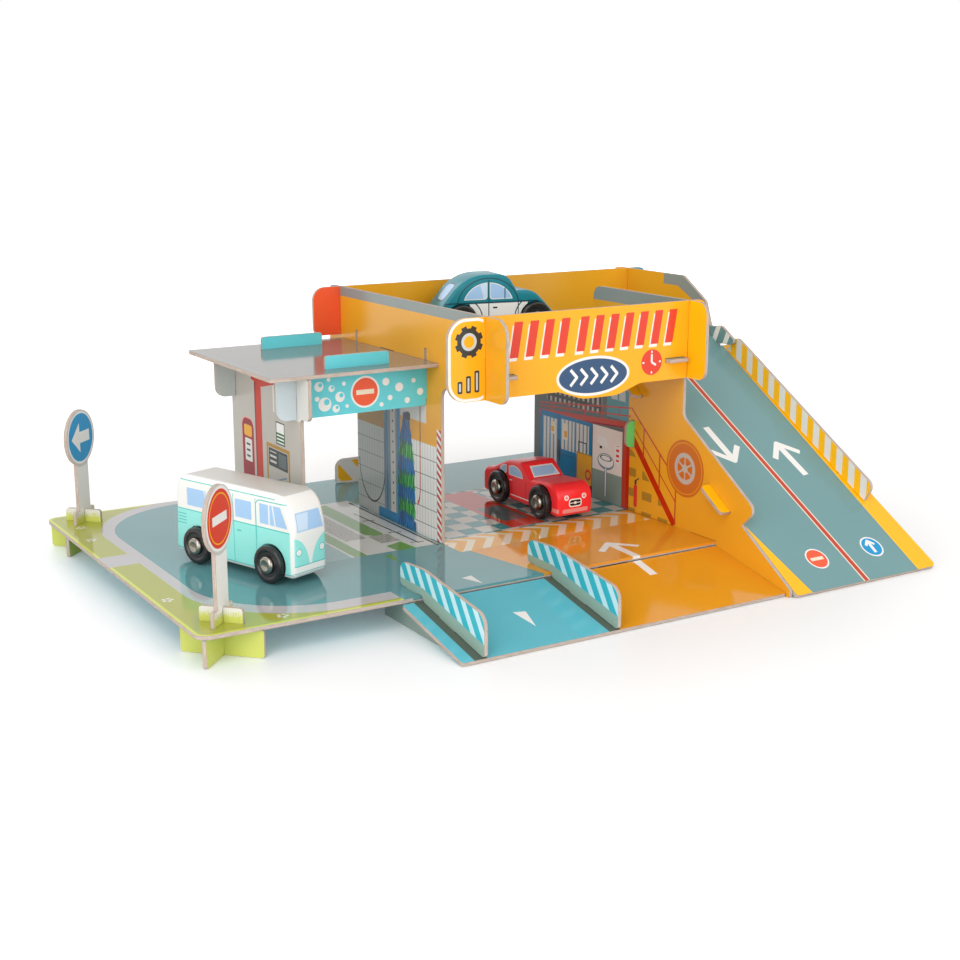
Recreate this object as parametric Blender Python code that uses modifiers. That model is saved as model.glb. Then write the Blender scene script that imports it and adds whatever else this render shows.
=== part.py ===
"""Toy garage of slot-together printed card boards, with three small wooden vehicles.

Units are metres, +Z is up. Outlines are written in the deck's own coordinates: x runs to the
right from the deck's left edge, y runs back from its front edge and z is the height above the
table. The finished model is centred on the table below the middle of its overall box.
"""
import math

import bmesh
import bpy
from mathutils import Euler, Matrix, Vector

MM = 0.001

# Card and clearances
BOARD = 2.5 * MM
GAP = 0.3 * MM
SLOT_END_GAP = 0.5 * MM
SLOPED_SLOT_END_GAP = 1.2 * MM
TAB_REACH = 3.0 * MM
ARC_STEP = math.radians(20.0)
CORNER_SHARE = 0.48

# Corner radii of the boards, from the smallest tab to the widest band end
SLIT_ROUND = 0.6 * MM
TAB_ROUND = 0.8 * MM
FINE_ROUND = 1.5 * MM
SOFT_ROUND = 2.0 * MM
TIP_ROUND = 3.0 * MM
WIDE_ROUND = 4.0 * MM
EAR_ROUND = 6.0 * MM
BARRIER_ROUND = 7.0 * MM

# Base deck
DECK_WIDTH = 486.0 * MM
DECK_DEPTH = 300.0 * MM
DECK_TOP = 20.0 * MM
DECK_CORNER = 8.0 * MM

# Where the upright boards stand
LEFT_WALL_X = 211.0 * MM
RIGHT_WALL_X = 374.2 * MM
OUTER_WALL_INSET = 10.5 * MM
FASCIA_Y = 36.6 * MM
REAR_WALL_Y = 240.0 * MM

# Heights of the upper floor
ROOF_TOP = 143.0 * MM
WALL_TOP = 181.4 * MM
BAND_BOTTOM = 128.3 * MM
HALF_LAP_Z = 155.0 * MM

# Long tabs of the walls that stick out past the crossing boards
LEFT_TAB_REACH = 24.0 * MM
RIGHT_TAB_REACH = 18.8 * MM
REAR_TAB_REACH = 16.5 * MM
TAB_TOP_RADIUS = 13.0 * MM
TAB_BOTTOM_RADIUS = 7.0 * MM
REAR_TAB_BOTTOM = 146.0 * MM

# Left wall
LEFT_WALL_FRONT = 93.0 * MM
LEFT_WALL_BACK = 216.0 * MM
LEFT_WALL_FILLET = 8.0 * MM
WALL_FOOT_TAB = 18.0 * MM
FOOT_TAB_INSET = 0.12

# Right wall
PARAPET_BACK = 147.5 * MM
PARAPET_RADIUS = 8.0 * MM
RIGHT_WALL_BACK = 225.0 * MM
RIGHT_WALL_SHOULDER = 39.8 * MM
RAMP_KERB_RISE = 21.5 * MM
KERB_FRONT = -38.5 * MM
KERB_FOOT = -25.0 * MM
KERB_RADIUS = 6.0 * MM
KERB_TIP_BACK = 3.0 * MM

# Outer wall
OUTER_WALL_FRONT = 12.0 * MM
OUTER_WALL_BACK = 236.0 * MM
CHAMFER_TOP_Y = 168.0 * MM
CHAMFER_FOOT_Y = 140.0 * MM
CHAMFER_FOOT_Z = 164.0 * MM
HOOK_BACK_Y = 133.0 * MM
HOOK_BACK_Z = 145.0 * MM
HOOK_TOP_Y = 121.0 * MM
HOOK_TOP_Z = 147.6 * MM
HOOK_TIP_Y = 103.5 * MM
HOOK_TIP_Z = 136.8 * MM
HOOK_TOE_Y = 110.5 * MM
HOOK_ROOT_Y = 123.0 * MM
HOOK_UNDER_Z = 133.6 * MM
HOOK_ROUND = 9.0 * MM

# Rear wall and front fascia
REAR_WALL_LEFT_REACH = 22.0 * MM
REAR_WALL_RIGHT_REACH = 16.0 * MM
FASCIA_LEFT_REACH = 27.5 * MM
FASCIA_RIGHT_REACH = 12.5 * MM
FASCIA_RADIUS = 13.0 * MM
FASCIA_RIGHT_RADIUS = 6.0 * MM
BADGE_X = 300.6 * MM
BADGE_WIDTH = 67.0 * MM
BADGE_DROP = 6.5 * MM
BADGE_FLAT = 28.1 * MM
BADGE_ROUND = 12.0 * MM

# Roof deck
LANDING_FRONT = 134.0 * MM
ROOF_TAB_WIDTH = 16.0 * MM
ROOF_TAB_REACH = 5.6 * MM
ROOF_TAB_INSET = 2.6 * MM
ROOF_TAB_PAST_LEFT_WALL = 39.0 * MM
ROOF_TAB_BEFORE_RIGHT_WALL = 24.2 * MM
ROOF_TAB_BEFORE_OUTER_WALL = 35.5 * MM

# Roof ramp
RAMP_FRONT = -77.0 * MM
RAMP_OVERHANG = 28.0 * MM
RAMP_TAPER = math.radians(4.2)
RAMP_ROUND = 4.0 * MM
STRIP_END_GAP = 1.2 * MM
RAIL_INSET = 12.7 * MM
RAIL_HEIGHT = 14.3 * MM
RAIL_FRONT = -22.4 * MM
RAIL_BACK = 117.0 * MM
RAIL_FRONT_TAB = (-14.0 * MM, 2.0 * MM)
RAIL_REAR_TAB = (84.0 * MM, 100.0 * MM)
RAMP_SIDE_TABS = ((-13.0 * MM, 9.0 * MM), (86.0 * MM, 104.0 * MM))
RAMP_TAB_REACH = 8.0 * MM
RIB_Y = 94.0 * MM
RIB_TAB_LOW = 68.5 * MM
RIB_TAB_HIGH = 88.0 * MM
RIB_TAB_REACH = 7.0 * MM

# Entry ramp and its guards
ENTRY_LEFT = 129.0 * MM
ENTRY_FRONT = -71.0 * MM
GUARD_XS = (143.0 * MM, 237.5 * MM)
GUARD_BACK = 27.0 * MM
GUARD_BACK_RISE = 15.5 * MM
GUARD_KINK_Y = -1.5 * MM
GUARD_KINK_RISE = 17.0 * MM
GUARD_FRONT_OVERHANG = 1.0 * MM
GUARD_FRONT_Z = 28.0 * MM
GUARD_ROUND = 9.0 * MM
GUARD_KINK_ROUND = 30.0 * MM
GUARD_DECK_TAB = (7.0 * MM, 19.0 * MM)
GUARD_RAMP_TAB = (-38.0 * MM, -22.0 * MM)
WEDGE_XS = (135.5 * MM, 300.0 * MM)
WEDGE_BACK = 34.0 * MM
WEDGE_FRONT = -50.0 * MM

# Canopy over the wash bay
CANOPY_LEFT = 90.0 * MM
CANOPY_FRONT = 95.4 * MM
CANOPY_BACK = 237.0 * MM
CANOPY_TOP = 144.0 * MM
CANOPY_FASCIA_YS = (112.0 * MM, 213.5 * MM)
CANOPY_FASCIA_LEFT = 100.4 * MM
CANOPY_FASCIA_BOTTOM = 113.0 * MM
STRIP_LEFT = 136.0 * MM
STRIP_WIDTH = 46.5 * MM
STRIP_HEIGHT = 8.5 * MM
CANOPY_WALL_TAB = (158.0 * MM, 178.0 * MM)
FASCIA_TAB_LOW = 118.0 * MM
FASCIA_TAB_HIGH = 137.0 * MM
WALL_SLIT_TOP = 152.0 * MM

# Pump pillar
PILLAR_X = 115.0 * MM
PILLAR_FRONT = 107.5 * MM
PILLAR_BACK = 220.5 * MM
PILLAR_HEAD_REACH = 13.0 * MM
PILLAR_HEAD_BOTTOM = 114.0 * MM
PILLAR_LAP_Z = 127.0 * MM

# Rear barrier
BARRIER_LEFT = 226.0 * MM
BARRIER_LENGTH = 66.0 * MM
BARRIER_INSET = 15.5 * MM
BARRIER_HEIGHT = 19.5 * MM

# Crossed feet, and the road signs that stand on two of them
FOOT_INSET_LEFT = 22.0 * MM
FOOT_INSET_RIGHT = 31.0 * MM
FOOT_INSET_Y = 20.0 * MM
FOOT_HALF = 26.0 * MM
FOOT_TAB_HALF = 13.5 * MM
FOOT_TAB_HEIGHT = 9.0 * MM
FOOT_LAP_Z = 14.0 * MM
SIGN_POST_HALF = 8.0 * MM
SIGN_DISC_RADIUS = 19.8 * MM
SIGN_DISC_Z = 81.5 * MM
SIGN_SEGMENTS = 32

# Vehicle running gear
WHEEL_RADIUS = 12.1 * MM
WHEEL_WIDTH = 6.0 * MM
WHEEL_STAND_OUT = 4.1 * MM
WHEEL_SHOULDER = 1.6 * MM
WHEEL_SOFTNESS = 0.3
WHEEL_DISH_RADIUS = 8.6 * MM
WHEEL_DISH_DEPTH = 0.9 * MM
WHEEL_SIDE_GAP = 0.5 * MM
AXLE_RADIUS = 2.0 * MM
CAP_RADIUS = 5.2 * MM
CAP_HEIGHT = 2.4 * MM
CAP_SEGMENTS = 4
ARCH_GAP = 0.8 * MM
WHEEL_SEGMENTS = 20
AXLE_SEGMENTS = 14
BODY_EDGE = 1.0 * MM

# Side profiles are (distance ahead of the rear axle, height above the floor, corner radius) in mm
# Van
VAN_WHEELBASE = 67.2 * MM
VAN_WIDTH = 30.0 * MM
VAN_REAR_AXLE = (68.6 * MM, 141.3 * MM)
VAN_HEADING = math.radians(-70.6)
VAN_PROFILE = (
    (-24.6, 4.5, 2.0),
    (86.8, 4.5, 2.0),
    (87.2, 36.0, 30.0),
    (81.0, 57.3, 13.0),
    (-21.5, 57.3, 10.0),
)

# Two-door coupe
COUPE_WHEELBASE = 55.5 * MM
COUPE_WIDTH = 30.0 * MM
COUPE_BEFORE_RIGHT_WALL = 52.7 * MM
COUPE_REAR_AXLE_Y = 168.7 * MM
COUPE_HEADING = math.radians(-90.0)
COUPE_PROFILE = (
    (-24.5, 4.5, 2.5),
    (76.2, 4.5, 2.5),
    (76.6, 27.9, 9.0),
    (42.5, 25.7, 3.0),
    (29.5, 35.6, 6.0),
    (8.5, 34.2, 25.0),
    (-13.0, 24.6, 20.0),
    (-24.7, 22.6, 7.0),
)

# Round-backed saloon on the roof
SALOON_WHEELBASE = 59.7 * MM
SALOON_WIDTH = 30.0 * MM
SALOON_REAR_AXLE = (290.0 * MM, 208.2 * MM)
SALOON_HEADING = math.radians(-10.7)
SALOON_PROFILE = (
    (-22.5, 4.5, 2.5),
    (76.0, 4.5, 2.5),
    (76.0, 15.0, 12.0),
    (58.5, 33.2, 18.0),
    (44.8, 33.2, 2.0),
    (37.0, 45.8, 14.0),
    (4.0, 45.8, 34.0),
    (-22.5, 14.0, 12.0),
)

# Plain colours: base colour, roughness, metallic
YELLOW = ((0.88, 0.52, 0.06), 0.42, 0.0)
ROAD = ((0.24, 0.38, 0.38), 0.38, 0.0)
AQUA = ((0.10, 0.62, 0.68), 0.40, 0.0)
CANOPY_GREY = ((0.52, 0.50, 0.47), 0.42, 0.0)
PILLAR_GREY = ((0.48, 0.47, 0.40), 0.42, 0.0)
LIME = ((0.58, 0.68, 0.10), 0.42, 0.0)
LEAF = ((0.25, 0.72, 0.30), 0.45, 0.0)
WEDGE_GREEN = ((0.22, 0.36, 0.33), 0.45, 0.0)
STRIPE_BLUE = ((0.10, 0.55, 0.62), 0.40, 0.0)
SIGN_WHITE = ((0.85, 0.84, 0.82), 0.42, 0.0)
MINT = ((0.32, 0.80, 0.72), 0.35, 0.0)
RED = ((0.78, 0.05, 0.06), 0.32, 0.0)
TEAL = ((0.02, 0.34, 0.40), 0.35, 0.0)
WHEEL_BLACK = ((0.015, 0.015, 0.016), 0.35, 0.0)
STEEL = ((0.72, 0.70, 0.66), 0.28, 1.0)

# Values that follow from the sizes above
DECK_UNDER = DECK_TOP - BOARD
ON_DECK = DECK_TOP + GAP
SLOT_HALF = BOARD / 2 + GAP
ROOF_UNDER = ROOF_TOP - BOARD
CANOPY_UNDER = CANOPY_TOP - BOARD
OUTER_WALL_X = DECK_WIDTH - OUTER_WALL_INSET
LEFT_WALL_RIGHT = LEFT_WALL_X + BOARD
RIGHT_WALL_RIGHT = RIGHT_WALL_X + BOARD
OUTER_WALL_RIGHT = OUTER_WALL_X + BOARD
FASCIA_BACK = FASCIA_Y + BOARD
REAR_WALL_BACK = REAR_WALL_Y + BOARD
RAMP_LEFT = RIGHT_WALL_RIGHT + GAP
RAMP_RIGHT = OUTER_WALL_RIGHT + RAMP_OVERHANG
ENTRY_RIGHT = RIGHT_WALL_X - GAP
ROOF_REAR_TABS = (
    LEFT_WALL_X + ROOF_TAB_PAST_LEFT_WALL,
    RIGHT_WALL_X - ROOF_TAB_BEFORE_RIGHT_WALL,
    OUTER_WALL_X - ROOF_TAB_BEFORE_OUTER_WALL,
)
BARRIER_Y = DECK_DEPTH - BARRIER_INSET
COUPE_REAR_AXLE = (RIGHT_WALL_X - COUPE_BEFORE_RIGHT_WALL, COUPE_REAR_AXLE_Y)


class Slope:
    """A sloping board: its front bottom edge lies on the table and its back end reaches a height."""

    def __init__(self, front, back, back_top):
        """front and back are y values; back_top is the height of the top face at the back."""
        self.front = front
        angle = math.atan2(back_top, back - front)
        for _ in range(8):
            angle = math.atan2(back_top - BOARD / math.cos(angle), back - front)
        self.angle = angle
        self.length = (back - front) / math.cos(angle)

    def under(self, y):
        """Height of the lower face at y."""
        return (y - self.front) * math.tan(self.angle)

    def top(self, y):
        """Height of the upper face at y."""
        return self.under(y) + BOARD / math.cos(self.angle)

    def along(self, y):
        """Distance up the slope at which a vertical line at y meets the board's middle."""
        return (y - self.front) / math.cos(self.angle) + BOARD / 2 * math.tan(self.angle)

    def point(self, along, off):
        """(y, z) of the point at a distance up the slope and a distance off the lower face."""
        cos, sin = math.cos(self.angle), math.sin(self.angle)
        return (self.front + along * cos - off * sin, along * sin + off * cos)


ENTRY = Slope(ENTRY_FRONT, 0.0, DECK_UNDER - GAP)
CLIMB = Slope(RAMP_FRONT, LANDING_FRONT, ROOF_UNDER - GAP)

FRONT_EDGE = RAMP_FRONT - BOARD * math.sin(CLIMB.angle)
TAPER_IN_BOARD = math.tan(RAMP_TAPER) * math.cos(CLIMB.angle)
RIGHT_EDGE = RAMP_RIGHT - RAMP_ROUND * (TAPER_IN_BOARD + math.hypot(1.0, TAPER_IN_BOARD) - 1.0)
CENTRE = Vector((RIGHT_EDGE / 2, (DECK_DEPTH + FRONT_EDGE) / 2, 0.0))

FLAT = Euler((0.0, 0.0, 0.0))
SIDE_ON = Euler((math.pi / 2, 0.0, math.pi / 2))
FACING = Euler((math.pi / 2, 0.0, 0.0))


def clear_scene():
    """Removes every object, so that the script can be run again."""
    for old in list(bpy.data.objects):
        bpy.data.objects.remove(old, do_unlink=True)


def collection(name):
    """A new collection in the scene."""
    made = bpy.data.collections.new(name)
    bpy.context.scene.collection.children.link(made)
    return made


def material(name, finish):
    """A Principled material with the part's plain colour."""
    colour, roughness, metallic = finish
    made = bpy.data.materials.new(name)
    made.use_nodes = True
    shader = made.node_tree.nodes["Principled BSDF"]
    shader.inputs["Base Color"].default_value = (*colour, 1.0)
    shader.inputs["Roughness"].default_value = roughness
    shader.inputs["Metallic"].default_value = metallic
    return made


def rounded(corners):
    """Turns corners (a, b) or (a, b, radius) into outline points, with arcs where a radius is given."""
    points = []
    count = len(corners)
    for index, corner in enumerate(corners):
        here = Vector(corner[:2])
        radius = corner[2] if len(corner) > 2 else 0.0
        if radius <= 0.0:
            points.append(here)
            continue
        to_last = Vector(corners[index - 1][:2]) - here
        to_next = Vector(corners[(index + 1) % count][:2]) - here
        turn = to_last.angle(to_next)
        reach = radius / math.tan(turn / 2)
        reach = min(reach, CORNER_SHARE * to_last.length, CORNER_SHARE * to_next.length)
        radius = reach * math.tan(turn / 2)
        start = here + to_last.normalized() * reach
        bisector = (to_last.normalized() + to_next.normalized()).normalized()
        centre = here + bisector * (radius / math.sin(turn / 2))
        sweep = math.pi - turn
        steps = max(2, math.ceil(sweep / ARC_STEP))
        side = to_last.x * to_next.y - to_last.y * to_next.x
        step = sweep / steps if side < 0 else -sweep / steps
        arm = start - centre
        for number in range(steps + 1):
            points.append(centre + Matrix.Rotation(step * number, 2) @ arm)
    return points


def box(a0, b0, a1, b1, radius=0.0):
    """The corners of a rectangle, counter-clockwise from its low corner."""
    return [(a0, b0, radius), (a1, b0, radius), (a1, b1, radius), (a0, b1, radius)]


def tabs_below(spans, edge, reach):
    """Corners of square tabs that hang below a bottom edge, met from low to high."""
    corners = []
    for low, high in spans:
        corners += [(low, edge), (low, edge - reach, TAB_ROUND), (high, edge - reach, TAB_ROUND), (high, edge)]
    return corners


def slot(a_middle, span, end_gap=SLOT_END_GAP):
    """A slot for a board whose middle plane is at a_middle, along b from span[0] to span[1]."""
    return box(a_middle - SLOT_HALF, span[0] - end_gap, a_middle + SLOT_HALF, span[1] + end_gap)


def foot_spans(low, high):
    """Where a standing board's two foot tabs are: one near each end."""
    inset = (high - low) * FOOT_TAB_INSET
    return ((low + inset, low + inset + WALL_FOOT_TAB), (high - inset - WALL_FOOT_TAB, high - inset))


def solid_from_curve(name, loops, depth):
    """Extrudes flat closed loops (the first is the outline, the rest are holes) into a mesh."""
    curve = bpy.data.curves.new(name + "_outline", "CURVE")
    curve.dimensions = "2D"
    curve.fill_mode = "BOTH"
    curve.extrude = depth / 2
    for loop in loops:
        spline = curve.splines.new("POLY")
        spline.points.add(len(loop) - 1)
        for point, place in zip(spline.points, loop):
            point.co = (place[0], place[1], 0.0, 1.0)
        spline.use_cyclic_u = True
    shape = bpy.data.objects.new(name + "_outline", curve)
    bpy.context.scene.collection.objects.link(shape)
    bpy.context.view_layer.update()
    evaluated = shape.evaluated_get(bpy.context.evaluated_depsgraph_get())
    mesh = bpy.data.meshes.new_from_object(evaluated)
    bpy.data.objects.remove(shape, do_unlink=True)
    mesh.name = name
    work = bmesh.new()
    work.from_mesh(mesh)
    bmesh.ops.remove_doubles(work, verts=work.verts, dist=0.01 * MM)
    bmesh.ops.recalc_face_normals(work, faces=work.faces)
    work.to_mesh(mesh)
    work.free()
    return mesh


def place(name, mesh, surface, group, location, rotation, parent=None):
    """Links a mesh as a named object with its material, location and rotation."""
    mesh.materials.clear()
    mesh.materials.append(surface)
    made = bpy.data.objects.new(name, mesh)
    group.objects.link(made)
    made.location = location
    made.rotation_euler = rotation
    made.parent = parent
    return made


def upright_x(name, x, outline, holes, surface, group):
    """A board in a plane of constant x. Its outline is in (y, z) and x is its left face."""
    mesh = solid_from_curve(name, [rounded(outline)] + [rounded(hole) for hole in holes], BOARD)
    return place(name, mesh, surface, group, Vector((x + BOARD / 2, 0.0, 0.0)) - CENTRE, SIDE_ON)


def upright_y(name, y, outline, holes, surface, group):
    """A board in a plane of constant y. Its outline is in (x, z) and y is its front face."""
    mesh = solid_from_curve(name, [rounded(outline)] + [rounded(hole) for hole in holes], BOARD)
    return place(name, mesh, surface, group, Vector((0.0, y + BOARD / 2, 0.0)) - CENTRE, FACING)


def level(name, top, outline, holes, surface, group):
    """A flat board. Its outline is in (x, y) and top is its upper face."""
    mesh = solid_from_curve(name, [rounded(outline)] + [rounded(hole) for hole in holes], BOARD)
    return place(name, mesh, surface, group, Vector((0.0, 0.0, top - BOARD / 2)) - CENTRE, FLAT)


def sloping(name, slope, outline, holes, surface, group):
    """A sloping board. Its outline is in (x, distance up the slope)."""
    mesh = solid_from_curve(name, [rounded(outline)] + [rounded(hole) for hole in holes], BOARD)
    middle = slope.point(0.0, BOARD / 2)
    start = Vector((0.0, middle[0], middle[1]))
    return place(name, mesh, surface, group, start - CENTRE, Euler((slope.angle, 0.0, 0.0)))


def cut(target, tool):
    """Cuts a tool body out of a target with an exact Boolean modifier."""
    modifier = target.modifiers.new(tool.name, "BOOLEAN")
    modifier.operation = "DIFFERENCE"
    modifier.solver = "EXACT"
    modifier.object = tool
    tool.hide_render = True
    tool.display_type = "WIRE"


def foot_places():
    """Centres of the four crossed feet, by name."""
    left, right = FOOT_INSET_LEFT, DECK_WIDTH - FOOT_INSET_RIGHT
    front, back = FOOT_INSET_Y, DECK_DEPTH - FOOT_INSET_Y
    return {
        "front_left": (left, front),
        "rear_left": (left, back),
        "front_right": (right, front),
        "rear_right": (right, back),
    }


def cross_slot(centre):
    """A cross-shaped slot turned by 45 degrees, for a crossed foot."""
    arm = FOOT_TAB_HALF + SLOT_END_GAP
    half = SLOT_HALF
    corners = []
    for quarter in range(4):
        turn = Matrix.Rotation(math.pi / 4 + quarter * math.pi / 2, 2)
        for point in ((half, half), (half, arm), (-half, arm)):
            corners.append(Vector(centre) + turn @ Vector(point))
    return [tuple(corner) for corner in corners]


def wall_feet():
    """Spans of the tabs that pin each standing board to the deck, by board."""
    return {
        "left_wall": foot_spans(LEFT_WALL_FRONT, LEFT_WALL_BACK),
        "right_wall": foot_spans(0.0, RIGHT_WALL_BACK),
        "outer_wall": foot_spans(OUTER_WALL_FRONT, OUTER_WALL_BACK),
        "pump_pillar": foot_spans(PILLAR_FRONT, PILLAR_BACK),
        "rear_barrier": foot_spans(BARRIER_LEFT, BARRIER_LEFT + BARRIER_LENGTH),
    }


def make_base_deck(surface, group):
    """The deck: a wide board on crossed feet, with a slot for every board that stands on it."""
    feet = wall_feet()
    holes = [cross_slot(centre) for centre in foot_places().values()]
    for board, x in (
        ("left_wall", LEFT_WALL_X),
        ("right_wall", RIGHT_WALL_X),
        ("outer_wall", OUTER_WALL_X),
        ("pump_pillar", PILLAR_X),
    ):
        holes += [slot(x + BOARD / 2, span) for span in feet[board]]
    for x in GUARD_XS:
        holes.append(slot(x + BOARD / 2, GUARD_DECK_TAB))
    for low, high in feet["rear_barrier"]:
        middle = BARRIER_Y + BOARD / 2
        holes.append(box(low - SLOT_END_GAP, middle - SLOT_HALF, high + SLOT_END_GAP, middle + SLOT_HALF))
    outline = box(0.0, 0.0, DECK_WIDTH, DECK_DEPTH, DECK_CORNER)
    level("base_deck", DECK_TOP, outline, holes, surface, group)


def make_feet(surface, sign_surface, group):
    """Crossed feet below the deck. At the left corners one of the two boards carries a sign."""
    tab_top = DECK_TOP + FOOT_TAB_HEIGHT
    foot_top = DECK_UNDER - GAP
    edge = SOFT_ROUND
    for corner, centre in foot_places().items():
        spot = Vector((centre[0], centre[1], 0.0)) - CENTRE
        brace = [
            (-FOOT_HALF, 0.0, edge), (FOOT_HALF, 0.0, edge), (FOOT_HALF, foot_top, edge),
            (FOOT_TAB_HALF, foot_top), (FOOT_TAB_HALF, tab_top, edge),
            (SLOT_HALF, tab_top), (SLOT_HALF, FOOT_LAP_Z - GAP / 2),
            (-SLOT_HALF, FOOT_LAP_Z - GAP / 2), (-SLOT_HALF, tab_top),
            (-FOOT_TAB_HALF, tab_top, edge), (-FOOT_TAB_HALF, foot_top), (-FOOT_HALF, foot_top, edge),
        ]
        mesh = solid_from_curve("foot_brace_" + corner, [rounded(brace)], BOARD)
        turn = Euler((math.pi / 2, 0.0, -math.pi / 4))
        place("foot_brace_" + corner, mesh, surface, group, spot, turn)
        low_part = [
            (FOOT_TAB_HALF, foot_top), (FOOT_HALF, foot_top, edge), (FOOT_HALF, 0.0, edge),
            (SLOT_HALF, 0.0), (SLOT_HALF, FOOT_LAP_Z + GAP / 2),
            (-SLOT_HALF, FOOT_LAP_Z + GAP / 2), (-SLOT_HALF, 0.0),
            (-FOOT_HALF, 0.0, edge), (-FOOT_HALF, foot_top, edge), (-FOOT_TAB_HALF, foot_top),
        ]
        if corner.endswith("left"):
            name = "road_sign_" + corner
            board = [(-FOOT_TAB_HALF, tab_top, edge), (-SIGN_POST_HALF, tab_top)]
            board += sign_head()
            board += [(SIGN_POST_HALF, tab_top), (FOOT_TAB_HALF, tab_top, edge)] + low_part
            finish = sign_surface
        else:
            name = "foot_post_" + corner
            board = [(-FOOT_TAB_HALF, tab_top, edge), (FOOT_TAB_HALF, tab_top, edge)] + low_part
            finish = surface
        mesh = solid_from_curve(name, [rounded(board)], BOARD)
        place(name, mesh, finish, group, spot, Euler((math.pi / 2, 0.0, math.pi / 4)))


def sign_head():
    """Corner points of a sign's disc, from its post's left edge over the top to the right edge."""
    drop = math.asin(SIGN_POST_HALF / SIGN_DISC_RADIUS)
    start = -math.pi / 2 - drop
    sweep = -(2 * math.pi - 2 * drop)
    steps = SIGN_SEGMENTS
    points = []
    for number in range(steps + 1):
        angle = start + sweep * number / steps
        across = SIGN_DISC_RADIUS * math.cos(angle)
        up = SIGN_DISC_Z + SIGN_DISC_RADIUS * math.sin(angle)
        points.append((across, up))
    return points


def front_tab(reach):
    """Corners of a wall's tab in front of the fascia, from its lap slot down to the band's edge."""
    tip = FASCIA_Y - reach
    return [
        (FASCIA_Y - GAP, HALF_LAP_Z - GAP / 2), (FASCIA_Y - GAP, WALL_TOP, FINE_ROUND),
        (tip, WALL_TOP, TAB_TOP_RADIUS), (tip, BAND_BOTTOM, TAB_BOTTOM_RADIUS),
    ]


def rear_tab():
    """Corners of a wall's tab behind the rear wall, from its low edge up to its lap slot."""
    end = REAR_WALL_BACK + REAR_TAB_REACH
    return [
        (end, BAND_BOTTOM, EAR_ROUND), (end, WALL_TOP, EAR_ROUND),
        (REAR_WALL_BACK + GAP, WALL_TOP), (REAR_WALL_BACK + GAP, HALF_LAP_Z - GAP / 2),
        (REAR_WALL_Y - GAP, HALF_LAP_Z - GAP / 2), (REAR_WALL_Y - GAP, WALL_TOP),
    ]


def make_left_wall(surface, group):
    """The wall between the wash bay and the workshop, with the deep band of the upper floor."""
    outline = [(LEFT_WALL_FRONT, ON_DECK)]
    outline += tabs_below(wall_feet()["left_wall"], ON_DECK, BOARD + 2 * GAP + TAB_REACH)
    outline += [
        (LEFT_WALL_BACK, ON_DECK), (LEFT_WALL_BACK, BAND_BOTTOM, LEFT_WALL_FILLET),
    ]
    outline += rear_tab()
    outline += [(FASCIA_BACK + GAP, WALL_TOP), (FASCIA_BACK + GAP, HALF_LAP_Z - GAP / 2)]
    outline += front_tab(LEFT_TAB_REACH)
    outline += [(LEFT_WALL_FRONT, BAND_BOTTOM, LEFT_WALL_FILLET)]
    holes = []
    for y in CANOPY_FASCIA_YS:
        low = FASCIA_TAB_LOW - SLOT_END_GAP
        holes.append(box(y - GAP, low, y + BOARD + GAP, WALL_SLIT_TOP, SLIT_ROUND))
    low, high = CANOPY_WALL_TAB
    holes.append(box(low - SLOT_END_GAP, CANOPY_UNDER - GAP, high + SLOT_END_GAP, CANOPY_TOP + GAP))
    upright_x("left_wall", LEFT_WALL_X, outline, holes, surface, group)


def sloped_slot(slope, span):
    """A wall's slot for a tab on the edge of a sloping board, in (y, z)."""
    low = slope.along(span[0]) - SLOT_END_GAP
    high = slope.along(span[1]) + SLOT_END_GAP
    return [
        slope.point(low, -GAP), slope.point(high, -GAP),
        slope.point(high, BOARD + GAP), slope.point(low, BOARD + GAP),
    ]


def make_right_wall(surface, group):
    """The wall between the workshop and the roof ramp, with its kerb along the ramp."""
    tip = RAMP_FRONT + KERB_TIP_BACK
    kerb_top = CLIMB.top(KERB_FRONT) + RAMP_KERB_RISE
    shoulder_z = CLIMB.top(RIGHT_WALL_SHOULDER) + RAMP_KERB_RISE
    outline = [(tip, 0.0), (-GAP, 0.0), (-GAP, ON_DECK)]
    outline += tabs_below(wall_feet()["right_wall"], ON_DECK, BOARD + 2 * GAP + TAB_REACH)
    outline += [
        (RIGHT_WALL_BACK, ON_DECK), (RIGHT_WALL_BACK, ROOF_UNDER - GAP, SOFT_ROUND),
        (PARAPET_BACK, ROOF_UNDER - GAP), (PARAPET_BACK, WALL_TOP, PARAPET_RADIUS),
        (FASCIA_BACK + GAP, WALL_TOP), (FASCIA_BACK + GAP, HALF_LAP_Z - GAP / 2),
    ]
    outline += front_tab(RIGHT_TAB_REACH)
    outline += [
        (RIGHT_WALL_SHOULDER, BAND_BOTTOM, TAB_ROUND), (RIGHT_WALL_SHOULDER, shoulder_z, EAR_ROUND),
        (KERB_FRONT, kerb_top, KERB_RADIUS), (KERB_FOOT, CLIMB.top(KERB_FOOT), TAB_ROUND),
        (tip, CLIMB.top(tip)),
    ]
    holes = [sloped_slot(CLIMB, span) for span in RAMP_SIDE_TABS]
    low, high = RIB_TAB_LOW - SLOT_END_GAP, RIB_TAB_HIGH + SLOT_END_GAP
    holes.append(box(RIB_Y - GAP, low, RIB_Y + BOARD + GAP, high))
    upright_x("right_wall", RIGHT_WALL_X, outline, holes, surface, group)


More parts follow.
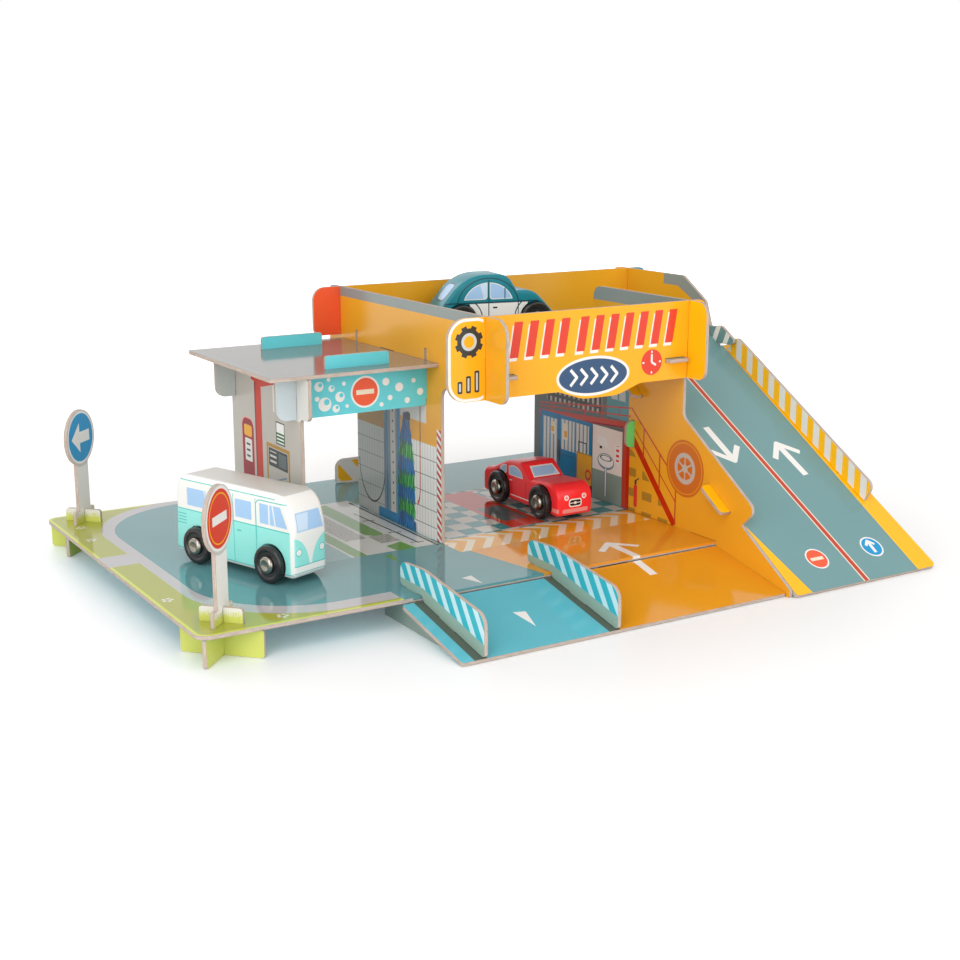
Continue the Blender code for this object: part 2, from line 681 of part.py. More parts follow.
def make_outer_wall(surface, group):
    """The far wall: it carries the ramp, hooks over its top end and rises to a parapet."""
    clear = GAP / math.cos(CLIMB.angle)
    outline = [(OUTER_WALL_FRONT, ON_DECK, SOFT_ROUND)]
    outline += tabs_below(wall_feet()["outer_wall"], ON_DECK, BOARD + 2 * GAP + TAB_REACH)
    outline += [(OUTER_WALL_BACK, ON_DECK), (OUTER_WALL_BACK, BAND_BOTTOM, SOFT_ROUND)]
    outline += rear_tab()
    outline += [
        (CHAMFER_TOP_Y, WALL_TOP, TIP_ROUND), (CHAMFER_FOOT_Y, CHAMFER_FOOT_Z, WIDE_ROUND),
        (HOOK_BACK_Y, HOOK_BACK_Z, TIP_ROUND), (HOOK_TOP_Y, HOOK_TOP_Z, HOOK_ROUND),
        (HOOK_TIP_Y, HOOK_TIP_Z, SOFT_ROUND), (HOOK_TOE_Y, HOOK_UNDER_Z, SOFT_ROUND),
        (HOOK_ROOT_Y, HOOK_UNDER_Z), (HOOK_ROOT_Y, CLIMB.under(HOOK_ROOT_Y) - clear),
        (OUTER_WALL_FRONT, CLIMB.under(OUTER_WALL_FRONT) - clear, SOFT_ROUND),
    ]
    low, high = RIB_TAB_LOW - SLOT_END_GAP, RIB_TAB_HIGH + SLOT_END_GAP
    holes = [box(RIB_Y - GAP, low, RIB_Y + BOARD + GAP, high)]
    upright_x("outer_wall", OUTER_WALL_X, outline, holes, surface, group)


def lap_from_below(x, bottom, top):
    """Corners of a half-lap slot cut up into a facing board's bottom edge, met from left to right."""
    return [
        (x - GAP, bottom), (x - GAP, top + GAP / 2),
        (x + BOARD + GAP, top + GAP / 2), (x + BOARD + GAP, bottom),
    ]


def roof_front_tabs():
    """Spans in x of the roof deck's two tabs through the fascia."""
    left = LEFT_WALL_RIGHT + GAP + ROOF_TAB_INSET
    right = RIGHT_WALL_X - GAP - ROOF_TAB_INSET
    return ((left, left + ROOF_TAB_WIDTH), (right - ROOF_TAB_WIDTH, right))


def roof_rear_tabs():
    """Spans in x of the roof deck's tabs through the rear wall."""
    return [(x - ROOF_TAB_WIDTH / 2, x + ROOF_TAB_WIDTH / 2) for x in ROOF_REAR_TABS]


def roof_slots(spans):
    """Slots in a facing board for the roof deck's tabs."""
    low, high = ROOF_UNDER - GAP, ROOF_TOP + GAP
    return [box(left - SLOT_END_GAP, low, right + SLOT_END_GAP, high) for left, right in spans]


def make_front_fascia(surface, group):
    """The board across the front of the upper floor, with a drop in its lower edge for a badge."""
    half = BADGE_WIDTH / 2
    flat = BADGE_FLAT / 2
    dip = BAND_BOTTOM - BADGE_DROP
    left = LEFT_WALL_X - FASCIA_LEFT_REACH
    right = RIGHT_WALL_RIGHT + FASCIA_RIGHT_REACH
    outline = [(left, BAND_BOTTOM, FASCIA_RADIUS)]
    outline += lap_from_below(LEFT_WALL_X, BAND_BOTTOM, HALF_LAP_Z)
    outline += [
        (BADGE_X - half, BAND_BOTTOM, BADGE_ROUND), (BADGE_X - flat, dip, 2 * BADGE_ROUND),
        (BADGE_X + flat, dip, 2 * BADGE_ROUND), (BADGE_X + half, BAND_BOTTOM, BADGE_ROUND),
    ]
    outline += lap_from_below(RIGHT_WALL_X, BAND_BOTTOM, HALF_LAP_Z)
    outline += [
        (right, BAND_BOTTOM, FASCIA_RIGHT_RADIUS), (right, WALL_TOP, FASCIA_RIGHT_RADIUS),
        (left, WALL_TOP, FASCIA_RADIUS),
    ]
    upright_y("front_fascia", FASCIA_Y, outline, roof_slots(roof_front_tabs()), surface, group)


def make_rear_wall(surface, group):
    """The parapet band across the back of the upper floor."""
    left = LEFT_WALL_X - REAR_WALL_LEFT_REACH
    right = OUTER_WALL_RIGHT + REAR_WALL_RIGHT_REACH
    outline = [(left, REAR_TAB_BOTTOM, EAR_ROUND), (LEFT_WALL_X - GAP, REAR_TAB_BOTTOM)]
    outline += lap_from_below(LEFT_WALL_X, BAND_BOTTOM, HALF_LAP_Z)[1:]
    outline += lap_from_below(OUTER_WALL_X, BAND_BOTTOM, HALF_LAP_Z)
    outline += [(right, BAND_BOTTOM, EAR_ROUND), (right, WALL_TOP, EAR_ROUND), (left, WALL_TOP, GUARD_ROUND)]
    upright_y("rear_wall", REAR_WALL_Y, outline, roof_slots(roof_rear_tabs()), surface, group)


def make_roof_deck(surface, group):
    """The parking floor, with the landing that leads to the roof ramp."""
    left = LEFT_WALL_RIGHT + GAP
    front = FASCIA_BACK + GAP
    back = REAR_WALL_Y - GAP
    inner = RIGHT_WALL_X - GAP
    landing_left = RIGHT_WALL_RIGHT + GAP
    right = OUTER_WALL_X - GAP
    outline = [(left, front)]
    for low, high in roof_front_tabs():
        tip = FASCIA_Y - ROOF_TAB_REACH
        outline += [(low, front), (low, tip, FINE_ROUND), (high, tip, FINE_ROUND), (high, front)]
    outline += [
        (inner, front), (inner, PARAPET_BACK + GAP), (landing_left, PARAPET_BACK + GAP),
        (landing_left, LANDING_FRONT), (right, LANDING_FRONT), (right, back),
    ]
    for low, high in reversed(roof_rear_tabs()):
        tip = REAR_WALL_BACK + ROOF_TAB_REACH
        outline += [(high, back), (high, tip, FINE_ROUND), (low, tip, FINE_ROUND), (low, back)]
    outline += [(left, back)]
    level("roof_deck", ROOF_TOP, outline, [], surface, group)


def ramp_edge(y, inset=0.0):
    """The x of the ramp's slanting right edge at y, or of a line parallel to it further in."""
    return RAMP_RIGHT - (y - RAMP_FRONT) * math.tan(RAMP_TAPER) - inset / math.cos(RAMP_TAPER)


def make_roof_ramp(surface, rail_surface, group):
    """The ramp up to the landing, and the striped rail that stands along its right edge."""
    strip_end = HOOK_ROOT_Y - STRIP_END_GAP
    wall_side = OUTER_WALL_X - GAP
    outline = [
        (RAMP_LEFT, 0.0, SOFT_ROUND), (RAMP_RIGHT, 0.0, RAMP_ROUND),
        (ramp_edge(strip_end), CLIMB.along(strip_end), RAMP_ROUND), (wall_side, CLIMB.along(strip_end)),
        (wall_side, CLIMB.length), (RAMP_LEFT, CLIMB.length),
    ]
    for low, high in reversed(RAMP_SIDE_TABS):
        tip = RIGHT_WALL_X - RAMP_TAB_REACH
        foot, head = CLIMB.along(low), CLIMB.along(high)
        outline += [
            (RAMP_LEFT, head), (tip, head, TIP_ROUND), (tip, foot, TIP_ROUND), (RAMP_LEFT, foot),
        ]
    holes = []
    for low, high in (RAIL_FRONT_TAB, RAIL_REAR_TAB):
        near, far = low - SLOT_END_GAP, high + SLOT_END_GAP
        outer, inner = RAIL_INSET - BOARD - GAP, RAIL_INSET + GAP
        holes.append([
            (ramp_edge(near, inner), CLIMB.along(near)), (ramp_edge(near, outer), CLIMB.along(near)),
            (ramp_edge(far, outer), CLIMB.along(far)), (ramp_edge(far, inner), CLIMB.along(far)),
        ])
    sloping("roof_ramp", CLIMB, outline, holes, surface, group)
    make_ramp_rail(rail_surface, group)


def make_ramp_rail(surface, group):
    """The striped rail: its outline is laid out along the slope, then turned to follow the taper."""
    seat = BOARD + GAP
    foot, head = CLIMB.along(RAIL_FRONT), CLIMB.along(RAIL_BACK)
    marks = [(foot, seat, 0.0)]
    for low, high in (RAIL_FRONT_TAB, RAIL_REAR_TAB):
        near, far = CLIMB.along(low), CLIMB.along(high)
        marks += [(near, seat, 0.0), (near, -TAB_REACH, TAB_ROUND), (far, -TAB_REACH, TAB_ROUND), (far, seat, 0.0)]
    marks += [
        (head, seat, 0.0), (head, seat + RAIL_HEIGHT, EAR_ROUND), (foot, seat + RAIL_HEIGHT, EAR_ROUND),
    ]
    outline = []
    for along, off, radius in marks:
        y, z = CLIMB.point(along, off)
        outline.append(((y - RAIL_FRONT) / math.cos(RAMP_TAPER), z, radius))
    mesh = solid_from_curve("ramp_rail", [rounded(outline)], BOARD)
    middle = RAIL_INSET - BOARD / 2
    spot = Vector((ramp_edge(RAIL_FRONT, middle), RAIL_FRONT, 0.0))
    turn = Euler((math.pi / 2, 0.0, math.pi / 2 + RAMP_TAPER))
    place("ramp_rail", mesh, surface, group, spot - CENTRE, turn)


def make_ramp_rib(surface, group):
    """The cross rib that ties the right and outer walls below the ramp."""
    left = RIGHT_WALL_RIGHT + GAP
    right = OUTER_WALL_X - GAP
    top = CLIMB.under(RIB_Y) - GAP / math.cos(CLIMB.angle)
    tip_left = RIGHT_WALL_X - RIB_TAB_REACH
    tip_right = OUTER_WALL_RIGHT + RIB_TAB_REACH
    outline = [
        (left, ON_DECK), (right, ON_DECK), (right, RIB_TAB_LOW),
        (tip_right, RIB_TAB_LOW, EAR_ROUND), (tip_right, RIB_TAB_HIGH, EAR_ROUND),
        (right, RIB_TAB_HIGH), (right, top), (left, top), (left, RIB_TAB_HIGH),
        (tip_left, RIB_TAB_HIGH, EAR_ROUND), (tip_left, RIB_TAB_LOW, EAR_ROUND), (left, RIB_TAB_LOW),
    ]
    upright_y("ramp_rib", RIB_Y, outline, [], surface, group)


def make_entry_ramp(surface, guard_surface, wedge_surface, group):
    """The low ramp in front of the deck, its two striped guards and the wedges below it."""
    holes = []
    low, high = ENTRY.along(GUARD_RAMP_TAB[0]), ENTRY.along(GUARD_RAMP_TAB[1])
    for x in GUARD_XS:
        holes.append(slot(x + BOARD / 2, (low, high), SLOPED_SLOT_END_GAP))
    outline = box(ENTRY_LEFT, 0.0, ENTRY_RIGHT, ENTRY.length - GAP, FINE_ROUND)
    sloping("entry_ramp", ENTRY, outline, holes, surface, group)
    clear = GAP / math.cos(ENTRY.angle)
    front = ENTRY_FRONT - GUARD_FRONT_OVERHANG
    tab_drop = BOARD + TAB_REACH
    for side, x in zip(("left", "right"), GUARD_XS):
        near, far = GUARD_RAMP_TAB
        deck_near, deck_far = GUARD_DECK_TAB
        guard = [
            (front, ENTRY.top(front) + clear, SOFT_ROUND), (near, ENTRY.top(near) + clear),
            (near, ENTRY.top(near) - tab_drop), (far, ENTRY.top(far) - tab_drop),
            (far, ENTRY.top(far) + clear), (-GAP - BOARD, ENTRY.top(-GAP - BOARD) + clear),
            (-GAP, ON_DECK), (deck_near, ON_DECK), (deck_near, DECK_UNDER - TAB_REACH),
            (deck_far, DECK_UNDER - TAB_REACH), (deck_far, ON_DECK),
            (GUARD_BACK, ON_DECK, TIP_ROUND), (GUARD_BACK, DECK_TOP + GUARD_BACK_RISE, EAR_ROUND),
            (GUARD_KINK_Y, DECK_TOP + GUARD_KINK_RISE, GUARD_KINK_ROUND), (front, GUARD_FRONT_Z, GUARD_ROUND),
        ]
        upright_x("ramp_guard_" + side, x, guard, [], guard_surface, group)
    deck_clear = DECK_UNDER - GAP
    step = 2 * GAP
    for side, x in zip(("left", "right"), WEDGE_XS):
        wedge = [
            (WEDGE_FRONT, 0.0), (WEDGE_BACK, 0.0), (WEDGE_BACK, deck_clear, TIP_ROUND),
            (step, deck_clear), (step, ENTRY.under(step) - clear),
            (WEDGE_FRONT, ENTRY.under(WEDGE_FRONT) - clear),
        ]
        upright_x("ramp_wedge_" + side, x, wedge, [], wedge_surface, group)


def make_canopy(roof_surface, fascia_surface, group):
    """The flat canopy roof and the two boards that hang below it."""
    right = LEFT_WALL_X - GAP
    strip_right = STRIP_LEFT + STRIP_WIDTH
    holes = []
    for y in CANOPY_FASCIA_YS:
        middle = y + BOARD / 2
        low, high = STRIP_LEFT - SLOT_END_GAP, strip_right + SLOT_END_GAP
        holes.append(box(low, middle - SLOT_HALF, high, middle + SLOT_HALF))
    tab_low, tab_high = CANOPY_WALL_TAB
    outline = [
        (CANOPY_LEFT, CANOPY_FRONT, SOFT_ROUND), (right, CANOPY_FRONT), (right, tab_low),
        (LEFT_WALL_RIGHT, tab_low), (LEFT_WALL_RIGHT, tab_high), (right, tab_high),
        (right, CANOPY_BACK), (CANOPY_LEFT, CANOPY_BACK, SOFT_ROUND),
    ]
    level("canopy_roof", CANOPY_TOP, outline, holes, roof_surface, group)
    top = CANOPY_UNDER - GAP
    strip_top = CANOPY_TOP + STRIP_HEIGHT
    for side, y in zip(("front", "rear"), CANOPY_FASCIA_YS):
        fascia = [(CANOPY_FASCIA_LEFT, CANOPY_FASCIA_BOTTOM, BARRIER_ROUND)]
        fascia += lap_from_below(PILLAR_X, CANOPY_FASCIA_BOTTOM, PILLAR_LAP_Z)
        fascia += [
            (right, CANOPY_FASCIA_BOTTOM, TIP_ROUND), (right, FASCIA_TAB_LOW),
            (LEFT_WALL_RIGHT, FASCIA_TAB_LOW), (LEFT_WALL_RIGHT, FASCIA_TAB_HIGH),
            (right, FASCIA_TAB_HIGH), (right, top), (strip_right, top),
            (strip_right, strip_top, SOFT_ROUND), (STRIP_LEFT, strip_top, SOFT_ROUND),
            (STRIP_LEFT, top), (CANOPY_FASCIA_LEFT, top),
        ]
        upright_y("canopy_fascia_" + side, y, fascia, [], fascia_surface, group)


def make_pump_pillar(surface, group):
    """The pillar under the canopy's left side, with a wide head that holds the two fascias."""
    top = CANOPY_UNDER - GAP
    head_front = PILLAR_FRONT - PILLAR_HEAD_REACH
    head_back = PILLAR_BACK + PILLAR_HEAD_REACH
    outline = [(PILLAR_FRONT, ON_DECK)]
    outline += tabs_below(wall_feet()["pump_pillar"], ON_DECK, BOARD + 2 * GAP + TAB_REACH)
    outline += [
        (PILLAR_BACK, ON_DECK), (PILLAR_BACK, PILLAR_HEAD_BOTTOM, TIP_ROUND),
        (head_back, PILLAR_HEAD_BOTTOM, WIDE_ROUND), (head_back, top, SOFT_ROUND),
    ]
    for y in reversed(CANOPY_FASCIA_YS):
        lap = PILLAR_LAP_Z - GAP / 2
        outline += [(y + BOARD + GAP, top), (y + BOARD + GAP, lap), (y - GAP, lap), (y - GAP, top)]
    outline += [
        (head_front, top, SOFT_ROUND), (head_front, PILLAR_HEAD_BOTTOM, WIDE_ROUND),
        (PILLAR_FRONT, PILLAR_HEAD_BOTTOM, TIP_ROUND),
    ]
    upright_x("pump_pillar", PILLAR_X, outline, [], surface, group)


def make_rear_barrier(surface, group):
    """The low striped barrier at the back of the deck."""
    right = BARRIER_LEFT + BARRIER_LENGTH
    outline = [(BARRIER_LEFT, ON_DECK, FINE_ROUND)]
    outline += tabs_below(wall_feet()["rear_barrier"], ON_DECK, BOARD + 2 * GAP + TAB_REACH)
    outline += [
        (right, ON_DECK, FINE_ROUND), (right, DECK_TOP + BARRIER_HEIGHT, BARRIER_ROUND),
        (BARRIER_LEFT, DECK_TOP + BARRIER_HEIGHT, BARRIER_ROUND),
    ]
    upright_y("rear_barrier", BARRIER_Y, outline, [], surface, group)


def turned(name, profile):
    """A mesh that holds a profile in the XZ plane, ready to be spun round the Z axis."""
    mesh = bpy.data.meshes.new(name)
    closed = profile[0] == profile[-1]
    points = profile[:-1] if closed else profile
    edges = [(index, index + 1) for index in range(len(points) - 1)]
    if closed:
        edges.append((len(points) - 1, 0))
    mesh.from_pydata([(radius, 0.0, height) for radius, height in points], edges, [])
    return mesh


def turn(target, segments):
    """Spins an object's profile into a solid with a Screw modifier."""
    screw = target.modifiers.new("turned", "SCREW")
    screw.axis = "Z"
    screw.steps = segments
    screw.render_steps = segments
    screw.use_merge_vertices = True
    screw.merge_threshold = 0.01 * MM
    screw.use_smooth_shade = True


def wheel_profile():
    """Half section of a wheel round its axle, outer side first, as (radius, height)."""
    half = WHEEL_WIDTH / 2
    bore = AXLE_RADIUS + GAP
    dish = half - WHEEL_DISH_DEPTH
    inner_shoulder = WHEEL_RADIUS - WHEEL_SHOULDER
    soft = WHEEL_SOFTNESS * WHEEL_SHOULDER
    return [
        (bore, dish), (WHEEL_DISH_RADIUS, dish), (WHEEL_DISH_RADIUS + WHEEL_DISH_DEPTH, half),
        (inner_shoulder, half), (WHEEL_RADIUS - soft, half - soft), (WHEEL_RADIUS, half - WHEEL_SHOULDER),
        (WHEEL_RADIUS, -half + WHEEL_SHOULDER), (WHEEL_RADIUS - soft, -half + soft),
        (inner_shoulder, -half), (bore, -half), (bore, dish),
    ]


def axle_profile(cap_seat):
    """Half section of an axle: a pin with a domed cap at each end, seated at cap_seat from the middle."""
    steps = CAP_SEGMENTS
    dome = []
    for number in range(steps + 1):
        angle = math.pi / 2 * number / steps
        dome.append((CAP_RADIUS * math.sin(angle), cap_seat + CAP_HEIGHT * math.cos(angle)))
    upper = dome + [(AXLE_RADIUS, cap_seat)]
    lower = [(radius, -height) for radius, height in reversed(upper)]
    points = upper + lower
    points[0] = (0.0, points[0][1])
    points[-1] = (0.0, points[-1][1])
    return points


def make_vehicle(name, floor, spot, heading, wheelbase, width, profile, surfaces, group, cutters):
    """A wooden vehicle: a body, two axles and four wheels, on a parent empty at its rear axle."""
    paint, black, steel = surfaces
    stand = floor + GAP
    anchor = bpy.data.objects.new(name + "_place", None)
    group.objects.link(anchor)
    anchor.location = Vector((spot[0], spot[1], stand)) - CENTRE
    anchor.rotation_euler = Euler((0.0, 0.0, heading))
    outline = rounded([(s * MM, h * MM, r * MM) for s, h, r in profile])
    mesh = solid_from_curve(name + "_body", [outline], width)
    soften_blank(mesh)
    body = place(name + "_body", mesh, paint, group, Vector((0.0, 0.0, 0.0)), FACING, anchor)
    bevel = body.modifiers.new("soft_edges", "BEVEL")
    bevel.width = BODY_EDGE
    bevel.segments = 2
    bevel.limit_method = "ANGLE"
    bevel.angle_limit = math.radians(50.0)
    wheel_middle = width / 2 + WHEEL_STAND_OUT - WHEEL_WIDTH / 2
    pocket = wheel_middle - WHEEL_WIDTH / 2 - WHEEL_SIDE_GAP
    cap_seat = wheel_middle + WHEEL_WIDTH / 2 - WHEEL_DISH_DEPTH + GAP
    for end, ahead in (("rear", 0.0), ("front", wheelbase)):
        hub = Vector((ahead, 0.0, WHEEL_RADIUS))
        bore = turned(name + "_bore_" + end, arch_profile(pocket, width))
        cutter = place(name + "_bore_" + end, bore, black, cutters, hub, FACING, anchor)
        turn(cutter, WHEEL_SEGMENTS)
        cut(body, cutter)
        pin = turned(name + "_axle_" + end, axle_profile(cap_seat))
        axle = place(name + "_axle_" + end, pin, steel, group, hub, FACING, anchor)
        turn(axle, AXLE_SEGMENTS)
        for side, sign in (("left", 1.0), ("right", -1.0)):
            wheel_name = name + "_wheel_" + end + "_" + side
            tyre = turned(wheel_name, wheel_profile())
            seat = hub + Vector((0.0, sign * wheel_middle, 0.0))
            facing_out = Euler((-sign * math.pi / 2, 0.0, 0.0))
            wheel = place(wheel_name, tyre, black, group, seat, facing_out, anchor)
            turn(wheel, WHEEL_SEGMENTS)


def soften_blank(mesh):
    """Joins a blank's cap triangles into single faces, so that only its outline edges are bevelled."""
    work = bmesh.new()
    work.from_mesh(mesh)
    bmesh.ops.dissolve_limit(
        work, angle_limit=math.radians(0.5), verts=work.verts, edges=work.edges, use_dissolve_boundaries=False
    )
    work.to_mesh(mesh)
    work.free()


def arch_profile(pocket, width):
    """Half section of the cutter for an axle's bore and its two wheel pockets, top to bottom."""
    past = width / 2 + WHEEL_WIDTH
    bore = AXLE_RADIUS + GAP
    arch = WHEEL_RADIUS + ARCH_GAP
    return [
        (0.0, past), (arch, past), (arch, pocket), (bore, pocket),
        (bore, -pocket), (arch, -pocket), (arch, -past), (0.0, -past),
    ]


def main():
    """Builds the garage and its vehicles."""
    clear_scene()
    group = collection("toy_garage")
    cutters = collection("cutters")
    yellow = material("yellow_print", YELLOW)
    road = material("road_print", ROAD)
    aqua = material("aqua_print", AQUA)
    canopy_grey = material("canopy_print", CANOPY_GREY)
    pillar_grey = material("pillar_print", PILLAR_GREY)
    lime = material("lime_print", LIME)
    leaf = material("leaf_print", LEAF)
    wedge_green = material("wedge_print", WEDGE_GREEN)
    stripe_blue = material("guard_print", STRIPE_BLUE)
    sign_white = material("sign_print", SIGN_WHITE)
    black = material("wheel_black", WHEEL_BLACK)
    steel = material("axle_steel", STEEL)

    make_base_deck(road, group)
    make_feet(lime, sign_white, group)
    make_left_wall(yellow, group)
    make_right_wall(yellow, group)
    make_outer_wall(yellow, group)
    make_front_fascia(yellow, group)
    make_rear_wall(yellow, group)
    make_roof_deck(road, group)
    make_roof_ramp(road, yellow, group)
    make_ramp_rib(leaf, group)
    make_entry_ramp(aqua, stripe_blue, wedge_green, group)
    make_canopy(canopy_grey, aqua, group)
    make_pump_pillar(pillar_grey, group)
    make_rear_barrier(yellow, group)

    make_vehicle(
        "van", DECK_TOP, VAN_REAR_AXLE, VAN_HEADING, VAN_WHEELBASE, VAN_WIDTH, VAN_PROFILE,
        (material("mint_paint", MINT), black, steel), group, cutters,
    )
    make_vehicle(
        "coupe", DECK_TOP, COUPE_REAR_AXLE, COUPE_HEADING, COUPE_WHEELBASE, COUPE_WIDTH, COUPE_PROFILE,
        (material("red_paint", RED), black, steel), group, cutters,
    )
    make_vehicle(
        "saloon", ROOF_TOP, SALOON_REAR_AXLE, SALOON_HEADING, SALOON_WHEELBASE, SALOON_WIDTH, SALOON_PROFILE,
        (material("teal_paint", TEAL), black, steel), group, cutters,
    )


main()
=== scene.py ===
"""Looks of the slot-together toy garage and its three wooden vehicles.

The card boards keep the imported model's shapes and get printed, varnished faces with bare greyboard
edges. The vehicles are modelled again, with softer bodies and turned wheels. Prints are laid out in
millimetres in each board's own plane, measured from the deck's front left corner and the table.
"""

import functools
import logging
import math
from collections.abc import Iterator, Sequence
from dataclasses import dataclass, field
from enum import Enum

import bpy
from mathutils import Euler, Matrix, Vector


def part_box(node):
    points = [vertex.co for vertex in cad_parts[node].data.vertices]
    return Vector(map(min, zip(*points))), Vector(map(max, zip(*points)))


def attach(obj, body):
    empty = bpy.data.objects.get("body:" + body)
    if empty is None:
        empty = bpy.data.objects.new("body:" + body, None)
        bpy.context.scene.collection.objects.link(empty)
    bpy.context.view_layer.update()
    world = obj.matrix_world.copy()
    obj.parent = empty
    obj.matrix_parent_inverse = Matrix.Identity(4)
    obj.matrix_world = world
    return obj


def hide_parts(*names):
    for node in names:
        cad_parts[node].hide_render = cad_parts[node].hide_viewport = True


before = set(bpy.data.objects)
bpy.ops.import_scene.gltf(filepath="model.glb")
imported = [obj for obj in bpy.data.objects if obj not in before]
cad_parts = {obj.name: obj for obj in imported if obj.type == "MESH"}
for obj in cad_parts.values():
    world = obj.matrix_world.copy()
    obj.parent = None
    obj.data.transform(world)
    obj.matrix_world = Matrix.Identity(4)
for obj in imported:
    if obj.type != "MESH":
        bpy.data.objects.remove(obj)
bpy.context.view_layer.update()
LOG = logging.getLogger("toy_garage")

MM = 0.001
BOARD = 2.5
INK_EDGE = 0.22
Point2 = tuple[float, float]
Point3 = tuple[float, float, float]
Piece = bpy.types.Object
Socket = bpy.types.NodeSocket
Feed = Socket | float | tuple[float, ...]


class Ink(Enum):
    """Colours of the prints and paints, as screen values from 0 to 255."""

    ROAD = (98, 148, 152)
    ROAD_PALE = (124, 166, 168)
    RAMP_ROAD = (114, 154, 156)
    KERB = (188, 184, 185)
    GRASS = (170, 172, 68)
    GRASS_BRIGHT = (204, 214, 72)
    MOSS = (104, 150, 70)
    MOSS_DARK = (26, 104, 52)
    YELLOW = (255, 190, 16)
    FASCIA_YELLOW = (250, 176, 30)
    GOLD = (236, 168, 40)
    OCHRE = (176, 132, 46)
    AMBER = (230, 154, 34)
    AQUA = (104, 210, 220)
    AQUA_DEEP = (56, 180, 194)
    LANE_BLUE = (98, 186, 200)
    RED = (224, 66, 44)
    BRICK = (196, 66, 46)
    CRIMSON = (146, 24, 34)
    POST_RED = (196, 44, 6)
    ORANGE_RED = (240, 92, 54)
    WHITE = (240, 238, 234)
    PAPER = (222, 220, 214)
    CREAM = (238, 226, 200)
    TILE_SHADE = (190, 195, 192)
    GROUT = (132, 140, 142)
    ASH = (206, 205, 200)
    STONE = (190, 184, 174)
    SLATE = (92, 104, 104)
    STEEL_GREY = (122, 140, 154)
    CHARCOAL = (58, 60, 58)
    SEAM = (86, 96, 86)
    GUARD_GREY = (150, 178, 164)
    CANOPY_GREY = (126, 124, 120)
    RAIL_WHITE = (226, 226, 222)
    BAND_GREY = (142, 150, 146)
    NAVY = (52, 82, 118)
    BLUE = (8, 124, 176)
    SIGN_BLUE = (6, 150, 206)
    TUFT_BLUE = (18, 118, 190)
    TUFT_DEEP = (14, 74, 120)
    TUFT_GREEN = (56, 162, 74)
    LEAF = (112, 220, 122)
    LIME = (204, 208, 104)
    TEAL_TAB = (84, 150, 160)
    CHECK_TEAL = (66, 142, 148)
    CHECK_PALE = (204, 204, 196)
    ROOM_PALE = (238, 228, 220)
    PALE_AQUA = (200, 232, 238)
    COPPER = (204, 112, 36)
    GREY_GREEN = (144, 160, 150)
    MIST = (196, 206, 210)
    MINT = (150, 230, 222)
    MINT_LINE = (72, 196, 188)
    CAR_RED = (252, 46, 54)
    RED_LINE = (170, 22, 34)
    CAR_TEAL = (0, 126, 140)
    TEAL_LINE = (4, 66, 82)
    GLASS = (164, 200, 236)
    GLASS_PALE = (202, 222, 242)
    WARM_ROOF = (206, 202, 196)
    BLUSH = (240, 150, 146)
    BLACK = (20, 20, 22)

    @property
    def colour(self) -> tuple[float, float, float, float]:
        """The ink as a linear colour for a node."""
        return (*(screen_to_linear(value / 255.0) for value in self.value), 1.0)


class Face(Enum):
    """The printed sides of a board or a vehicle."""

    FRONT = "front"
    BACK = "back"
    TOP = "top"


def screen_to_linear(value: float) -> float:
    """Turns one screen colour channel into linear light."""
    return value / 12.92 if value <= 0.04045 else ((value + 0.055) / 1.055) ** 2.4


class Wires:
    """Short calls that add nodes to one tree and join them."""

    def __init__(self, tree: bpy.types.NodeTree) -> None:
        """Keeps the tree.

        Args:
            tree: The material's or group's node tree.
        """
        self.tree = tree

    def add(self, kind: str, feeds: dict[int | str, Feed], out: int | str = 0, **settings: object) -> Socket:
        """Adds a node and feeds its inputs.

        Args:
            kind: The node's type name.
            feeds: Values or sockets by input name or index.
            out: The output to return.
            **settings: Properties of the node.

        Returns:
            The chosen output socket.
        """
        node = self.tree.nodes.new(kind)
        for key, value in settings.items():
            setattr(node, key, value)
        for key, value in feeds.items():
            self.feed(node.inputs[key], value)
        return node.outputs[out]

    def feed(self, socket: Socket, value: Feed) -> None:
        """Links a socket to an input, or sets a plain value on it.

        Args:
            socket: The input.
            value: A socket to link, or a plain value.
        """
        if isinstance(value, Socket):
            self.tree.links.new(value, socket)
        else:
            socket.default_value = value

    def math(self, operation: str, first: Feed, second: Feed = 0.0, third: Feed = 0.0, clamp: bool = False) -> Socket:
        """A Math node's result."""
        return self.add("ShaderNodeMath", {0: first, 1: second, 2: third}, operation=operation, use_clamp=clamp)

    def vector(self, operation: str, first: Feed, second: Feed = (0.0, 0.0, 0.0)) -> Socket:
        """A Vector Math node's result: a number for DOT_PRODUCT and LENGTH, else a vector."""
        out = "Value" if operation in ("DOT_PRODUCT", "LENGTH") else "Vector"
        return self.add("ShaderNodeVectorMath", {0: first, 1: second}, out, operation=operation)

    def mix(self, mask: Feed, below: Feed, above: Feed) -> Socket:
        """A colour mix: below where the mask is 0, above where it is 1."""
        return self.add("ShaderNodeMix", {0: mask, 6: below, 7: above}, 2, data_type="RGBA")

    def blend(self, mask: Feed, below: Feed, above: Feed) -> Socket:
        """A number that is below where the mask is 0 and above where it is 1."""
        return self.add("ShaderNodeMix", {0: mask, 2: below, 3: above}, 0, data_type="FLOAT")

    def soft_inside(self, distance: Feed) -> Socket:
        """A mask that is 1 where a distance in millimetres is negative, with a fine soft edge."""
        return self.math("MULTIPLY_ADD", distance, -1.0 / INK_EDGE, 0.5, clamp=True)

    def parts(self, vector: Feed) -> tuple[Socket, ...]:
        """The x, y and z of a vector."""
        return tuple(self.add("ShaderNodeSeparateXYZ", {0: vector}).node.outputs)

    def noise(self, point: Feed, scale: float, detail: float = 2.0, roughness: float = 0.5) -> Socket:
        """Soft noise from 0 to 1; scale is per unit of the point."""
        feeds = {"Vector": point, "Scale": scale, "Detail": detail, "Roughness": roughness}
        return self.add("ShaderNodeTexNoise", feeds, "Fac")


